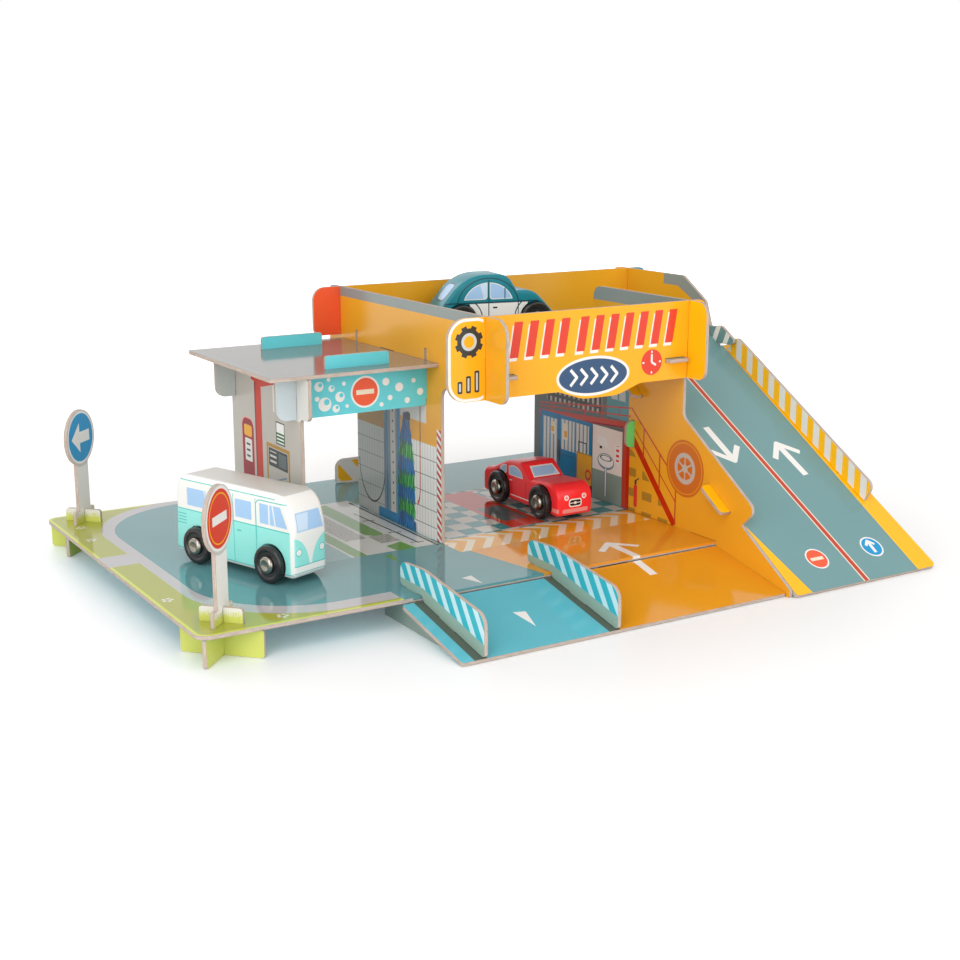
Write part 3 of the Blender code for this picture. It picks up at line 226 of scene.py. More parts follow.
class Surface(Wires):
    """The nodes of one material, which end in its shader."""

    def __init__(self, name: str) -> None:
        """Opens the material.

        Args:
            name: Its name.
        """
        self.material = bpy.data.materials.new(name)
        self.material.use_nodes = True
        super().__init__(self.material.node_tree)
        self.shader = self.tree.nodes["Principled BSDF"]

    def join(self, colour: Feed, roughness: Feed, height: Feed, strength: float, depth: float) -> None:
        """Feeds the shader's colour, roughness and bump.

        Args:
            colour, roughness: What the shader gets.
            height: The bump's height.
            strength: The bump's strength.
            depth: The bump's depth in millimetres.
        """
        self.feed(self.shader.inputs["Base Color"], colour)
        self.feed(self.shader.inputs["Roughness"], roughness)
        bump = self.add("ShaderNodeBump", {"Strength": strength, "Distance": depth * MM, "Height": height})
        self.feed(self.shader.inputs["Normal"], bump)


KINDS = {"Point": "Vector", "Centre": "Vector", "Half": "Vector", "Radii": "Vector", "Colour": "Color"}


@dataclass
class GroupShop:
    """Shader node groups that several materials share, each built once."""

    made: dict[str, bpy.types.NodeTree] = field(default_factory=dict)

    def start(self, name: str, inputs: str, outputs: str) -> tuple[Wires, dict, bpy.types.Node]:
        """Opens a new group. Its sockets are numbers, apart from those that KINDS names.

        Args:
            name: The group's name.
            inputs: The names of its inputs.
            outputs: The names of its outputs.

        Returns:
            The group's wires, its input sockets by name and its output node.
        """
        tree = bpy.data.node_groups.new(name, "ShaderNodeTree")
        for way, keys in (("INPUT", inputs), ("OUTPUT", outputs)):
            for key in keys.split():
                tree.interface.new_socket(name=key, in_out=way, socket_type="NodeSocket" + KINDS.get(key, "Float"))
        entry = tree.nodes.new("NodeGroupInput")
        leave = tree.nodes.new("NodeGroupOutput")
        self.made[name] = tree
        return Wires(tree), {key: entry.outputs[key] for key in inputs.split()}, leave

    def turned(self, wires: Wires, point: Feed, turn: Feed) -> Socket:
        """A point turned back by an angle in its plane."""
        feeds = {"Vector": point, "Angle": wires.math("MULTIPLY", turn, -1.0)}
        return wires.add("ShaderNodeVectorRotate", feeds, rotation_type="Z_AXIS")

    def ink_box(self) -> None:
        """Group: a rectangle with round corners, filled or as a line."""
        inputs = "Point Centre Half Turn Corner Line"
        wires, given, leave = self.start("ink_box", inputs, "Fill Outline")
        point = self.turned(wires, wires.vector("SUBTRACT", given["Point"], given["Centre"]), given["Turn"])
        beyond = wires.vector("SUBTRACT", wires.vector("ABSOLUTE", point), given["Half"])
        x, y, _ = wires.parts(beyond)
        x = wires.math("ADD", x, given["Corner"])
        y = wires.math("ADD", y, given["Corner"])
        out_x, out_y = wires.math("MAXIMUM", x, 0.0), wires.math("MAXIMUM", y, 0.0)
        squares = wires.math("ADD", wires.math("MULTIPLY", out_x, out_x), wires.math("MULTIPLY", out_y, out_y))
        inner = wires.math("MINIMUM", wires.math("MAXIMUM", x, y), 0.0)
        distance = wires.math("SUBTRACT", wires.math("ADD", wires.math("SQRT", squares), inner), given["Corner"])
        self.close(wires, leave, distance, given["Line"])

    def ink_disc(self) -> None:
        """Group: a disc or ellipse, filled or as a line."""
        inputs = "Point Centre Radii Turn Line"
        wires, given, leave = self.start("ink_disc", inputs, "Fill Outline")
        point = self.turned(wires, wires.vector("SUBTRACT", given["Point"], given["Centre"]), given["Turn"])
        flat = wires.vector("MULTIPLY", point, (1.0, 1.0, 0.0))
        share = wires.vector("LENGTH", wires.vector("DIVIDE", flat, given["Radii"]))
        width, height, _ = wires.parts(given["Radii"])
        least = wires.math("MINIMUM", width, height)
        distance = wires.math("MULTIPLY", wires.math("SUBTRACT", share, 1.0), least)
        self.close(wires, leave, distance, given["Line"])

    @staticmethod
    def close(wires: Wires, leave: bpy.types.Node, distance: Feed, line: Feed) -> None:
        """Ends a shape group with its filled mask and its outline mask.

        Args:
            wires: The group's wires.
            leave: The group's output node.
            distance: How far a point is outside the shape, in millimetres.
            line: The outline's width.
        """
        wires.feed(leave.inputs["Fill"], wires.soft_inside(distance))
        half = wires.math("MULTIPLY", line, 0.5)
        from_line = wires.math("SUBTRACT", wires.math("ABSOLUTE", distance), half)
        wires.feed(leave.inputs["Outline"], wires.soft_inside(from_line))

    def ink_stripes(self) -> None:
        """Group: straight stripes that repeat across a direction."""
        inputs = "Point Turn Period Share Shift"
        wires, given, leave = self.start("ink_stripes", inputs, "Fill")
        across, _, _ = wires.parts(self.turned(wires, given["Point"], given["Turn"]))
        place = wires.math("DIVIDE", wires.math("ADD", across, given["Shift"]), given["Period"])
        from_middle = wires.math("ABSOLUTE", wires.math("SUBTRACT", wires.math("FRACT", place), 0.5))
        reach = wires.math("MULTIPLY", given["Share"], 0.5)
        distance = wires.math("MULTIPLY", wires.math("SUBTRACT", from_middle, reach), given["Period"])
        wires.feed(leave.inputs["Fill"], wires.soft_inside(distance))

    def ink_side(self) -> None:
        """Group: all that lies on the near side of a straight line."""
        inputs = "Point Turn Reach"
        wires, given, leave = self.start("ink_side", inputs, "Fill")
        across, _, _ = wires.parts(self.turned(wires, given["Point"], given["Turn"]))
        wires.feed(leave.inputs["Fill"], wires.soft_inside(wires.math("SUBTRACT", across, given["Reach"])))

    def ink_dots(self) -> None:
        """Group: dots of one size on a square grid."""
        inputs = "Point Turn Period Radius"
        wires, given, leave = self.start("ink_dots", inputs, "Fill")
        turned = self.turned(wires, given["Point"], given["Turn"])
        x, y, _ = wires.parts(turned)
        parts = []
        for value in (x, y):
            share = wires.math("SUBTRACT", wires.math("FRACT", wires.math("DIVIDE", value, given["Period"])), 0.5)
            parts.append(wires.math("MULTIPLY", share, given["Period"]))
        squares = wires.math(
            "ADD", wires.math("MULTIPLY", parts[0], parts[0]), wires.math("MULTIPLY", parts[1], parts[1]),
        )
        wires.feed(
            leave.inputs["Fill"],
            wires.soft_inside(wires.math("SUBTRACT", wires.math("SQRT", squares), given["Radius"])),
        )

    def greyboard(self) -> None:
        """Group: the bare edge of pressed board, in thin plies with fibres and a darker skin."""
        wires, given, leave = self.start("greyboard", "Point", "Colour Height")
        plies = wires.noise(wires.vector("MULTIPLY", given["Point"], (0.12, 0.12, 3.4)), 1.0, 3.0, 0.6)
        fibres = wires.noise(given["Point"], 1.7, 4.0, 0.7)
        blend = wires.math("ADD", wires.math("MULTIPLY", plies, 0.65), wires.math("MULTIPLY", fibres, 0.35))
        pale = wires.mix(
            wires.math("MULTIPLY_ADD", blend, 3.2, -1.1, clamp=True), (0.36, 0.27, 0.22, 1.0), (0.66, 0.56, 0.49, 1.0),
        )
        _, _, depth = wires.parts(given["Point"])
        skin = wires.math("MULTIPLY_ADD", wires.math("ABSOLUTE", depth), 3.0, -2.75, clamp=True)
        colour = wires.mix(wires.math("MULTIPLY", skin, 0.55), pale, (0.24, 0.19, 0.16, 1.0))
        wires.feed(leave.inputs["Colour"], colour)
        wires.feed(leave.inputs["Height"], blend)

    def print_tone(self) -> None:
        """Group: the slight unevenness of a print and its varnish, as a shade, a roughness and a height."""
        inputs = "Point Colour Gloss"
        outputs = "Colour Roughness Height"
        wires, given, leave = self.start("print_tone", inputs, outputs)
        broad = wires.noise(given["Point"], 0.018, 2.0)
        grain = wires.noise(given["Point"], 0.9, 2.0, 0.6)
        shade = wires.math("ADD", wires.math("MULTIPLY", broad, 0.10), wires.math("MULTIPLY", grain, 0.08))
        dark = wires.math("MULTIPLY_ADD", shade, 1.0, 0.91)
        scaled = wires.add("ShaderNodeVectorMath", {0: given["Colour"], "Scale": dark}, "Vector", operation="SCALE")
        specks = wires.math("MULTIPLY_ADD", wires.noise(given["Point"], 1.4, 1.0), 18.0, -13.6, clamp=True)
        wires.feed(
            leave.inputs["Colour"], wires.mix(wires.math("MULTIPLY", specks, 0.10), scaled, (0.85, 0.84, 0.80, 1.0)),
        )
        uneven = wires.math("MULTIPLY_ADD", broad, 0.06, -0.03)
        wires.feed(leave.inputs["Roughness"], wires.math("ADD", given["Gloss"], uneven, clamp=True))
        waves = wires.math(
            "ADD", wires.math("MULTIPLY", wires.noise(given["Point"], 0.05, 1.0), 1.0),
            wires.math("MULTIPLY", grain, 0.02),
        )
        wires.feed(leave.inputs["Height"], waves)

    def group(self, name: str) -> bpy.types.NodeTree:
        """Finds a group, and builds it on its first use.

        Args:
            name: The group's name, which is also that of the method that builds it.

        Returns:
            The group.
        """
        if name not in self.made:
            getattr(self, name)()
        return self.made[name]


SHOP = GroupShop()


class Press:
    """A material that is laid down as layers of flat ink in one plane."""

    def __init__(self, name: str, placing: Matrix, grounds: dict[Face, Ink]) -> None:
        """Opens the material.

        Args:
            name: The material's name.
            placing: Where the print's plane is: its x and y in millimetres lie in the print.
            grounds: The ground colour of each face.
        """
        self.wires = Surface(name)
        self.shader = self.wires.shader
        texture = self.wires.tree.nodes.new("ShaderNodeTexCoord")
        self.object_point, self.object_normal = texture.outputs["Object"], texture.outputs["Normal"]
        self.point = self.mapped(placing)
        self.sheets: dict[Face, Feed] = {face: ink.colour for face, ink in grounds.items()}
        self.face = Face.FRONT
        self.axis = placing.to_3x3().col[2].normalized()

    def mapped(self, placing: Matrix) -> Socket:
        """The surface's place in a plane's own millimetres.

        Args:
            placing: Where the plane is in the world.

        Returns:
            The mapped point.
        """
        feeds = {
            "Vector": self.object_point,
            "Location": tuple(placing.to_translation()),
            "Rotation": tuple(placing.to_euler()),
            "Scale": (MM, MM, MM),
        }
        return self.wires.add("ShaderNodeMapping", feeds, vector_type="TEXTURE")

    def facing(self, axis: Sequence[float], least: float = 0.5) -> Socket:
        """A mask of what faces along an axis."""
        lean = self.wires.vector("DOT_PRODUCT", self.object_normal, tuple(axis))
        return self.wires.math("GREATER_THAN", lean, least)

    def use(self, name: str, feeds: dict[str, Feed], out: str = "Fill") -> Socket:
        """A shared group's output, placed in this material with its own values."""
        return self.wires.add("ShaderNodeGroup", feeds, out, node_tree=SHOP.group(name))

    def box(self, x0: float, y0: float, x1: float, y1: float, corner: float = 0.0, line: float = 0.0) -> Socket:
        """A mask of an upright rectangle, or of its outline when a line width is given.

        Args:
            x0, y0: The lower left corner.
            x1, y1: The upper right corner.
            corner: The radius of its corners.
            line: The outline's width, or 0 for a filled shape.

        Returns:
            The mask.
        """
        centre, half = ((x0 + x1) / 2, (y0 + y1) / 2, 0.0), ((x1 - x0) / 2, (y1 - y0) / 2, 0.0)
        feeds = {"Point": self.point, "Centre": centre, "Half": half, "Corner": corner, "Line": line}
        return self.use("ink_box", feeds, "Outline" if line else "Fill")

    def bar(self, start: Point2, end: Point2, width: float, corner: float = 0.0) -> Socket:
        """A mask of a straight bar with square ends.

        Args:
            start, end: The middles of its two ends.
            width: How wide it is.
            corner: The radius of its corners.

        Returns:
            The mask.
        """
        across, up = end[0] - start[0], end[1] - start[1]
        centre = ((start[0] + end[0]) / 2, (start[1] + end[1]) / 2, 0.0)
        feeds = {
            "Point": self.point, "Centre": centre, "Half": (math.hypot(across, up) / 2, width / 2, 0.0),
            "Turn": math.atan2(up, across), "Corner": corner,
        }
        return self.use("ink_box", feeds)

    def disc(self, x: float, y: float, rx: float, ry: float | None = None, line: float = 0.0) -> Socket:
        """A mask of a disc or ellipse, or of its outline when a line width is given."""
        feeds = {"Point": self.point, "Centre": (x, y, 0.0), "Radii": (rx, rx if ry is None else ry, 1.0), "Line": line}
        return self.use("ink_disc", feeds, "Outline" if line else "Fill")

    def stripes(self, period: float, share: float, degrees: float, shift: float = 0.0) -> Socket:
        """A mask of stripes; they repeat along a direction at an angle from the print's x."""
        feeds = {"Point": self.point, "Turn": math.radians(degrees), "Period": period, "Share": share, "Shift": shift}
        return self.use("ink_stripes", feeds)

    def dots(self, period: float, radius: float, degrees: float = 0.0) -> Socket:
        """A mask of dots on a grid."""
        feeds = {"Point": self.point, "Turn": math.radians(degrees), "Period": period, "Radius": radius}
        return self.use("ink_dots", feeds)

    def polygon(self, corners: Sequence[Point2]) -> Socket:
        """A mask of a convex polygon whose corners run counter-clockwise.

        Args:
            corners: The corners in order.

        Returns:
            The mask.
        """
        masks = []
        for index, (x, y) in enumerate(corners):
            nx, ny = corners[(index + 1) % len(corners)]
            turn = math.atan2(-(nx - x), ny - y)
            reach = x * math.cos(turn) + y * math.sin(turn)
            masks.append(self.use("ink_side", {"Point": self.point, "Turn": turn, "Reach": reach}))
        return self.both(*masks)

    def each_face(self) -> Iterator[Face]:
        """Turns to each printed face in turn."""
        for self.face in self.sheets:
            yield self.face

    def both(self, *masks: Feed) -> Feed:
        """Where all the masks meet."""
        return functools.reduce(lambda first, second: self.wires.math("MINIMUM", first, second), masks)

    def either(self, *masks: Feed) -> Feed:
        """Where at least one mask is."""
        return functools.reduce(lambda first, second: self.wires.math("MAXIMUM", first, second), masks)

    def lay(self, ink: Ink, *masks: Feed) -> None:
        """Lays ink over the present face where all the masks meet."""
        self.sheets[self.face] = self.wires.mix(self.both(*masks), self.sheets[self.face], ink.colour)

    def layers(self, *rows: tuple) -> None:
        """Lays several inks in turn.

        Args:
            *rows: An ink and its masks for each layer, the lowest first.
        """
        for ink, *masks in rows:
            self.lay(ink, *masks)

    def arrow(self, ink: Ink, tail: Point2, tip: Point2, width: float, head: float) -> None:
        """Lays a straight arrow with an open head of two bars.

        Args:
            ink: Its colour.
            tail, tip: Its two ends.
            width: The shaft's width.
            head: How long each bar of the head is.
        """
        ahead = Vector((tip[0] - tail[0], tip[1] - tail[1])).normalized()
        bars = [self.bar(tail, (tip[0] - ahead.x * width * 0.6, tip[1] - ahead.y * width * 0.6), width)]
        for side in (1.0, -1.0):
            barb = Matrix.Rotation(side * math.radians(135.0), 2) @ ahead * head
            root = (tip[0] - barb.x * 0.06, tip[1] - barb.y * 0.06)
            bars.append(self.bar(root, (tip[0] + barb.x, tip[1] + barb.y), width * 0.8))
        self.lay(ink, self.either(*bars))

    def block_arrow(self, ink: Ink, tail: Point2, tip: Point2, width: float, head: float) -> None:
        """Lays an arrow with a solid three-cornered head.

        Args:
            ink: Its colour.
            tail, tip: Its two ends.
            width: The shaft's width.
            head: How long its head is.
        """
        ahead = Vector((tip[0] - tail[0], tip[1] - tail[1])).normalized()
        side = Vector((-ahead.y, ahead.x)) * head * 0.92
        root = Vector(tip) - ahead * head
        shaft = self.bar(tail, tuple(root + ahead * 0.5), width)
        self.lay(ink, self.either(shaft, self.polygon([tip, tuple(root + side), tuple(root - side)])))

    def no_entry(self, x: float, y: float, radius: float) -> None:
        """Lays a red disc with a white rim and a pale bar.

        Args:
            x, y: Its middle.
            radius: The rim's radius.
        """
        self.lay(Ink.WHITE, self.disc(x, y, radius))
        self.lay(Ink.ORANGE_RED, self.disc(x, y, radius * 0.88))
        reach = radius * 0.62
        self.lay(Ink.CREAM, self.bar((x - reach, y), (x + reach, y), radius * 0.3))


def stood(spot: Sequence[float], turn: float) -> Matrix:
    """The plane of an upright print over a spot, turned about the vertical from the world's x."""
    return Matrix.Translation(spot) @ Euler((math.pi / 2, 0.0, turn)).to_matrix().to_4x4()


DECK_LEFT, DECK_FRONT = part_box("base_deck")[0][:2]


@dataclass(frozen=True)
class Varnish:
    """How a printed face shines."""

    gloss: float = 0.2
    waviness: float = 0.25
    shine: float = 0.3


class BoardPrint(Press):
    """A card board's material: a print on each face, varnish over it and bare greyboard on its edges."""

    def __init__(
        self, node: str, placing: Matrix, front: Ink, back: Ink, varnish: Varnish = Varnish(), name: str = ""
    ) -> None:
        """Opens a board's print.

        Args:
            node: The board's CAD node.
            placing: Where the board's middle plane is.
            front, back: The ground of each face.
            varnish: How the faces shine.
            name: The material's name, if it isn't the node's name with _print.
        """
        super().__init__(name or node + "_print", placing, {Face.FRONT: front, Face.BACK: back})
        self.node, self.varnish = node, varnish
        self.shader.inputs["Specular IOR Level"].default_value = varnish.shine
        self.lip: Feed = 0.0

    def finish(self) -> None:
        """Joins the faces and edges, and dresses the board."""
        wires = self.wires
        front = wires.math("MAXIMUM", self.facing(self.axis), self.lip)
        back = self.facing(-self.axis)
        printed = wires.math("MAXIMUM", front, back)
        sheet = wires.mix(front, self.sheets[Face.BACK], self.sheets[Face.FRONT])
        tone = {"Point": self.point, "Colour": sheet, "Gloss": self.varnish.gloss}
        toned = self.use("print_tone", tone, "Colour").node
        core = self.use("greyboard", {"Point": self.point}, "Colour").node
        colour = wires.mix(printed, core.outputs["Colour"], toned.outputs["Colour"])
        rough = wires.blend(printed, 0.85, toned.outputs["Roughness"])
        relief = wires.blend(printed, core.outputs["Height"], toned.outputs["Height"])
        wires.join(colour, rough, relief, self.varnish.waviness, 0.2)
        dress(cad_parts[self.node], wires.material)
        LOG.info("printed %s", self.node)


def standing(node: str, front: Ink, back: Ink, varnish: Varnish = Varnish(), name: str = "") -> BoardPrint:
    """Opens the print of a board that stands square to one of the world's axes.

    Args:
        node: The board's node.
        front, back: The ground of each face.
        varnish: How the faces shine.
        name: The material's name, if it isn't the node's name with _print.

    Returns:
        The print.
    """
    low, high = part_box(node)
    if high.x - low.x < high.y - low.y:
        plane = stood(((low.x + high.x) / 2, DECK_FRONT, 0.0), math.pi / 2)
    else:
        plane = stood((DECK_LEFT, (low.y + high.y) / 2, 0.0), 0.0)
    return BoardPrint(node, plane, front, back, varnish, name)


def lying(node: str, name: str, front: Ink, back: Ink, varnish: Varnish) -> BoardPrint:
    """Opens the print of a board that lies flat, with the grounds of its upper and lower face."""
    plane = Matrix.Translation((DECK_LEFT, DECK_FRONT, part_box(node)[1].z - BOARD / 2 * MM))
    return BoardPrint(node, plane, front, back, varnish, name)


def tilted(front: float, angle: float) -> Matrix:
    """The plane of a ramp whose lower end is on the table, in millimetres behind the deck's front edge."""
    back, up = front - BOARD / 2 * math.sin(angle), BOARD / 2 * math.cos(angle)
    return Matrix.Translation((DECK_LEFT, DECK_FRONT + back * MM, up * MM)) @ Matrix.Rotation(angle, 4, "X")


def dress(piece: Piece, material: bpy.types.Material) -> None:
    """Puts one material on all of a piece.

    Args:
        piece: A CAD node or a modelled piece.
        material: Its material.
    """
    if not piece.data.materials:
        piece.data.materials.append(material)
    for index in range(len(piece.data.materials)):
        piece.data.materials[index] = material


@dataclass
class DeckBoards:
    """The base deck, its crossed feet and the two road signs that stand on them."""

    road_left: float = 28.5
    road_front: float = 18.0
    band: Point2 = (69.0, 99.0)
    ridge: float = 90.0
    petal: float = 1.256

    def build(self) -> None:
        """Dresses the deck, the feet and the signs."""
        self.print_deck()
        for corner in ("front_left", "rear_left", "front_right", "rear_right"):
            self.print_foot(corner)
        self.print_sign("road_sign_front_left", (22.0, 20.0), Ink.RED)
        self.print_sign("road_sign_rear_left", (22.0, 280.0), Ink.SIGN_BLUE)

    def print_deck(self) -> None:
        """The road loop, the grass, the wash bay's floor and the workshop's floor."""
        varnish = Varnish(gloss=0.07, waviness=0.10, shine=0.42)
        press = lying("base_deck", "deck_print", Ink.GRASS, Ink.AQUA, varnish)
        box = press.box
        press.lay(Ink.GRASS_BRIGHT, box(0, 0, 486, 300, 8, line=4.6))
        for x, y in ((10.5, 227.5), (9.0, 74.0), (14.0, 262.0), (56.0, 11.0)):
            for step in range(5):
                angle = step * self.petal + y
                press.lay(Ink.PAPER, press.disc(x + 2.6 * math.cos(angle), y + 2.6 * math.sin(angle), 1.2))
        kerb = press.either(box(20.5, 4.5, 420, 301, 76), box(-5, 157, 40, 181.5), box(150, 4.5, 420, 320))
        press.lay(Ink.KERB, kerb)
        road = press.either(box(self.road_left, self.road_front, 420, 290.5, 70), box(190, 190, 490, 320))
        press.lay(Ink.ROAD, road)
        press.lay(Ink.ROAD, box(131, -5, 245, 60))
        self.wash_floor(press)
        self.workshop_floor(press)
        press.face = Face.BACK
        press.lay(Ink.AQUA_DEEP, press.stripes(40, 0.5, 45))
        _, _, depth = press.wires.parts(press.point)
        upper = press.wires.math("GREATER_THAN", depth, -0.35)
        press.lip = press.both(press.facing((0.0, -1.0, 0.0)), box(137, -5, 374, 5), upper)
        press.finish()

    def wash_floor(self, press: BoardPrint) -> None:
        """Pale floor with drains, mats and a guide rail beside the brush column.

        Args:
            press: The board's print.
        """
        box, polygon = press.box, press.polygon
        press.layers(
            (Ink.ASH, box(118, 95, 209.5, 232)), (Ink.ROAD_PALE, box(118, 95, 144, 232)),
            (
                Ink.MOSS,
                press.either(
                    polygon([(181.5, 133.5), (189, 135.5), (189, 228), (176.5, 228), (176.5, 140)]),
                    polygon([(177.3, 94), (191.4, 95), (190, 113), (176.3, 108)]), box(146, 95, 155, 228),
                    polygon([(166.4, 70), (170.7, 89), (163.3, 88.2)]),
                ),
            ))
        mats = press.either(box(176.5, 115.5, 191.5, 135), box(157.5, 132, 173.5, 228))
        press.layers(
            (Ink.STONE, mats), (Ink.CHARCOAL, mats, press.dots(1.9, 0.62, 45)),
            (Ink.CHARCOAL, press.bar((196.2, 196), (199.4, 104), 1.5)))
        for x, y in ((196.2, 172.6), (197.8, 135.5), (199.2, 106)):
            press.lay(Ink.CHARCOAL, press.bar((x - 4.5, y + 1.2), (x + 4.5, y - 1.2), 1.5))
        press.lay(Ink.CHARCOAL, box(206.5, 92, 208.6, 226))
        press.lay(Ink.PAPER, polygon([(182.8, 19.1), (188.3, 3.0), (190.5, 20.8)]))

    def workshop_floor(self, press: BoardPrint) -> None:
        """Checked tiles, a red mat, the striped band and the amber drive.

        Args:
            press: The board's print.
        """
        box, stripes = press.box, press.stripes
        low, high = self.band
        room = box(214, 96, 373.5, 206)
        press.layers(
            (Ink.CHECK_PALE, room), (Ink.CHECK_TEAL, room, self.checks(press, 14.2)),
            (Ink.STONE, box(214, 206, 373.5, 212)), (Ink.CHARCOAL, box(214, 206, 373.5, 212), stripes(9, 0.5, 48)),
            (Ink.BRICK, box(274, 103, 304, 209, 1)), (Ink.SLATE, box(279, 120, 300, 160, 1)))
        drive = press.polygon([(213, 99), (233, -3), (486, -3), (486, 99)])
        press.lay(Ink.AMBER, drive)
        band = box(212, low, 371, high)
        ahead, behind = box(212, low, 371, self.ridge), box(212, self.ridge, 371, high)
        press.lay(Ink.GOLD, band)
        press.lay(Ink.CREAM, press.either(
            press.both(ahead, stripes(12.0, 0.44, -38, -2.45)), press.both(behind, stripes(9.36, 0.44, 52, 5.57))))
        press.arrow(Ink.WHITE, (305.0, -20), (308.5, 34.5), 6.0, 21)
        press.lay(Ink.ROAD, box(377, -3, 486, 240))
        press.lay(Ink.WHITE, box(425, 20, 428, 230), stripes(24, 0.5, 90))

    @staticmethod
    def checks(press: BoardPrint, size: float) -> Feed:
        """A mask of every second square of a board of squares.

        Args:
            press: The board's print.
            size: The side of a square.

        Returns:
            The mask.
        """
        along = press.stripes(2 * size, 0.5, 0, -2.0)
        across = press.stripes(2 * size, 0.5, 90, 4.0)
        return press.wires.math("ABSOLUTE", press.wires.math("SUBTRACT", along, across))

    def print_foot(self, corner: str) -> None:
        """A crossed foot: lime below the deck, pale with blades of grass above it.

        Args:
            corner: Which corner of the deck it stands at.
        """
        node = "foot_brace_" + corner
        low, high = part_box(node)
        spot = ((low.x + high.x) / 2, (low.y + high.y) / 2, 0.0)
        names = [(node, -math.pi / 4)]
        if corner.endswith("right"):
            names.append(("foot_post_" + corner, math.pi / 4))
        for name, turn in names:
            press = BoardPrint(name, stood(spot, turn), Ink.LIME, Ink.LIME, Varnish(gloss=0.3))
            for _ in press.each_face():
                tufts(press, 20.0, 24.0)
            press.finish()

    def print_sign(self, node: str, spot: Point2, ground: Ink) -> None:
        """A sign: its foot, its pale post and its disc with a plain pictogram.

        Args:
            node: The sign's node.
            spot: Where it stands on the deck.
            ground: The disc's colour, which tells the pictogram.
        """
        where = Vector((DECK_LEFT + spot[0] * MM, DECK_FRONT + spot[1] * MM, 0.0))
        press = BoardPrint(node, stood(where, math.pi / 4), Ink.LIME, Ink.LIME, Varnish(gloss=0.25, shine=0.15))
        disc = press.disc
        for _ in press.each_face():
            tufts(press, 20.0, 24.0)
            press.layers(
                (Ink.WHITE, press.box(-9, 27, 9, 70)), (Ink.ASH, disc(0, 81.5, 21)), (Ink.WHITE, disc(0, 81.5, 18.8)),
                (ground, disc(0, 81.5, 17.2)))
            if ground is Ink.RED:
                press.lay(Ink.YELLOW, disc(0, 81.5, 14.6, 14.6, line=0.7))
                press.lay(Ink.WHITE, press.bar((-10.2, 81.5), (10.2, 81.5), 5.4, 0.5))
            else:
                sign = -1.0 if press.face is Face.FRONT else 1.0
                press.block_arrow(Ink.WHITE, (-12.5 * sign, 81.5), (13.0 * sign, 81.5), 8.0, 11.5)
        press.finish()


def tufts(press: BoardPrint, ground: float, top: float) -> None:
    """Pale card with blades of grass, above the height where a foot leaves the deck.

    Args:
        press: The board's print.
        ground: The deck's upper face.
        top: Where the blades begin.
    """
    x, y, _ = press.wires.parts(press.point)
    blades = press.wires.math("MULTIPLY", press.wires.math("PINGPONG", press.wires.math("MULTIPLY", x, 1.9), 1.0), 3.6)
    uneven = press.wires.math("MULTIPLY", press.wires.noise(press.point, 0.6, 1.0), 6.5)
    edge = press.wires.math("ADD", press.wires.math("ADD", blades, uneven), top - 4.0)
    pale = press.wires.math("GREATER_THAN", y, edge)
    press.lay(Ink.PAPER, pale)
    strip = press.box(-60, ground - 2.5, 60, ground)
    press.lay(Ink.GRASS_BRIGHT, strip)


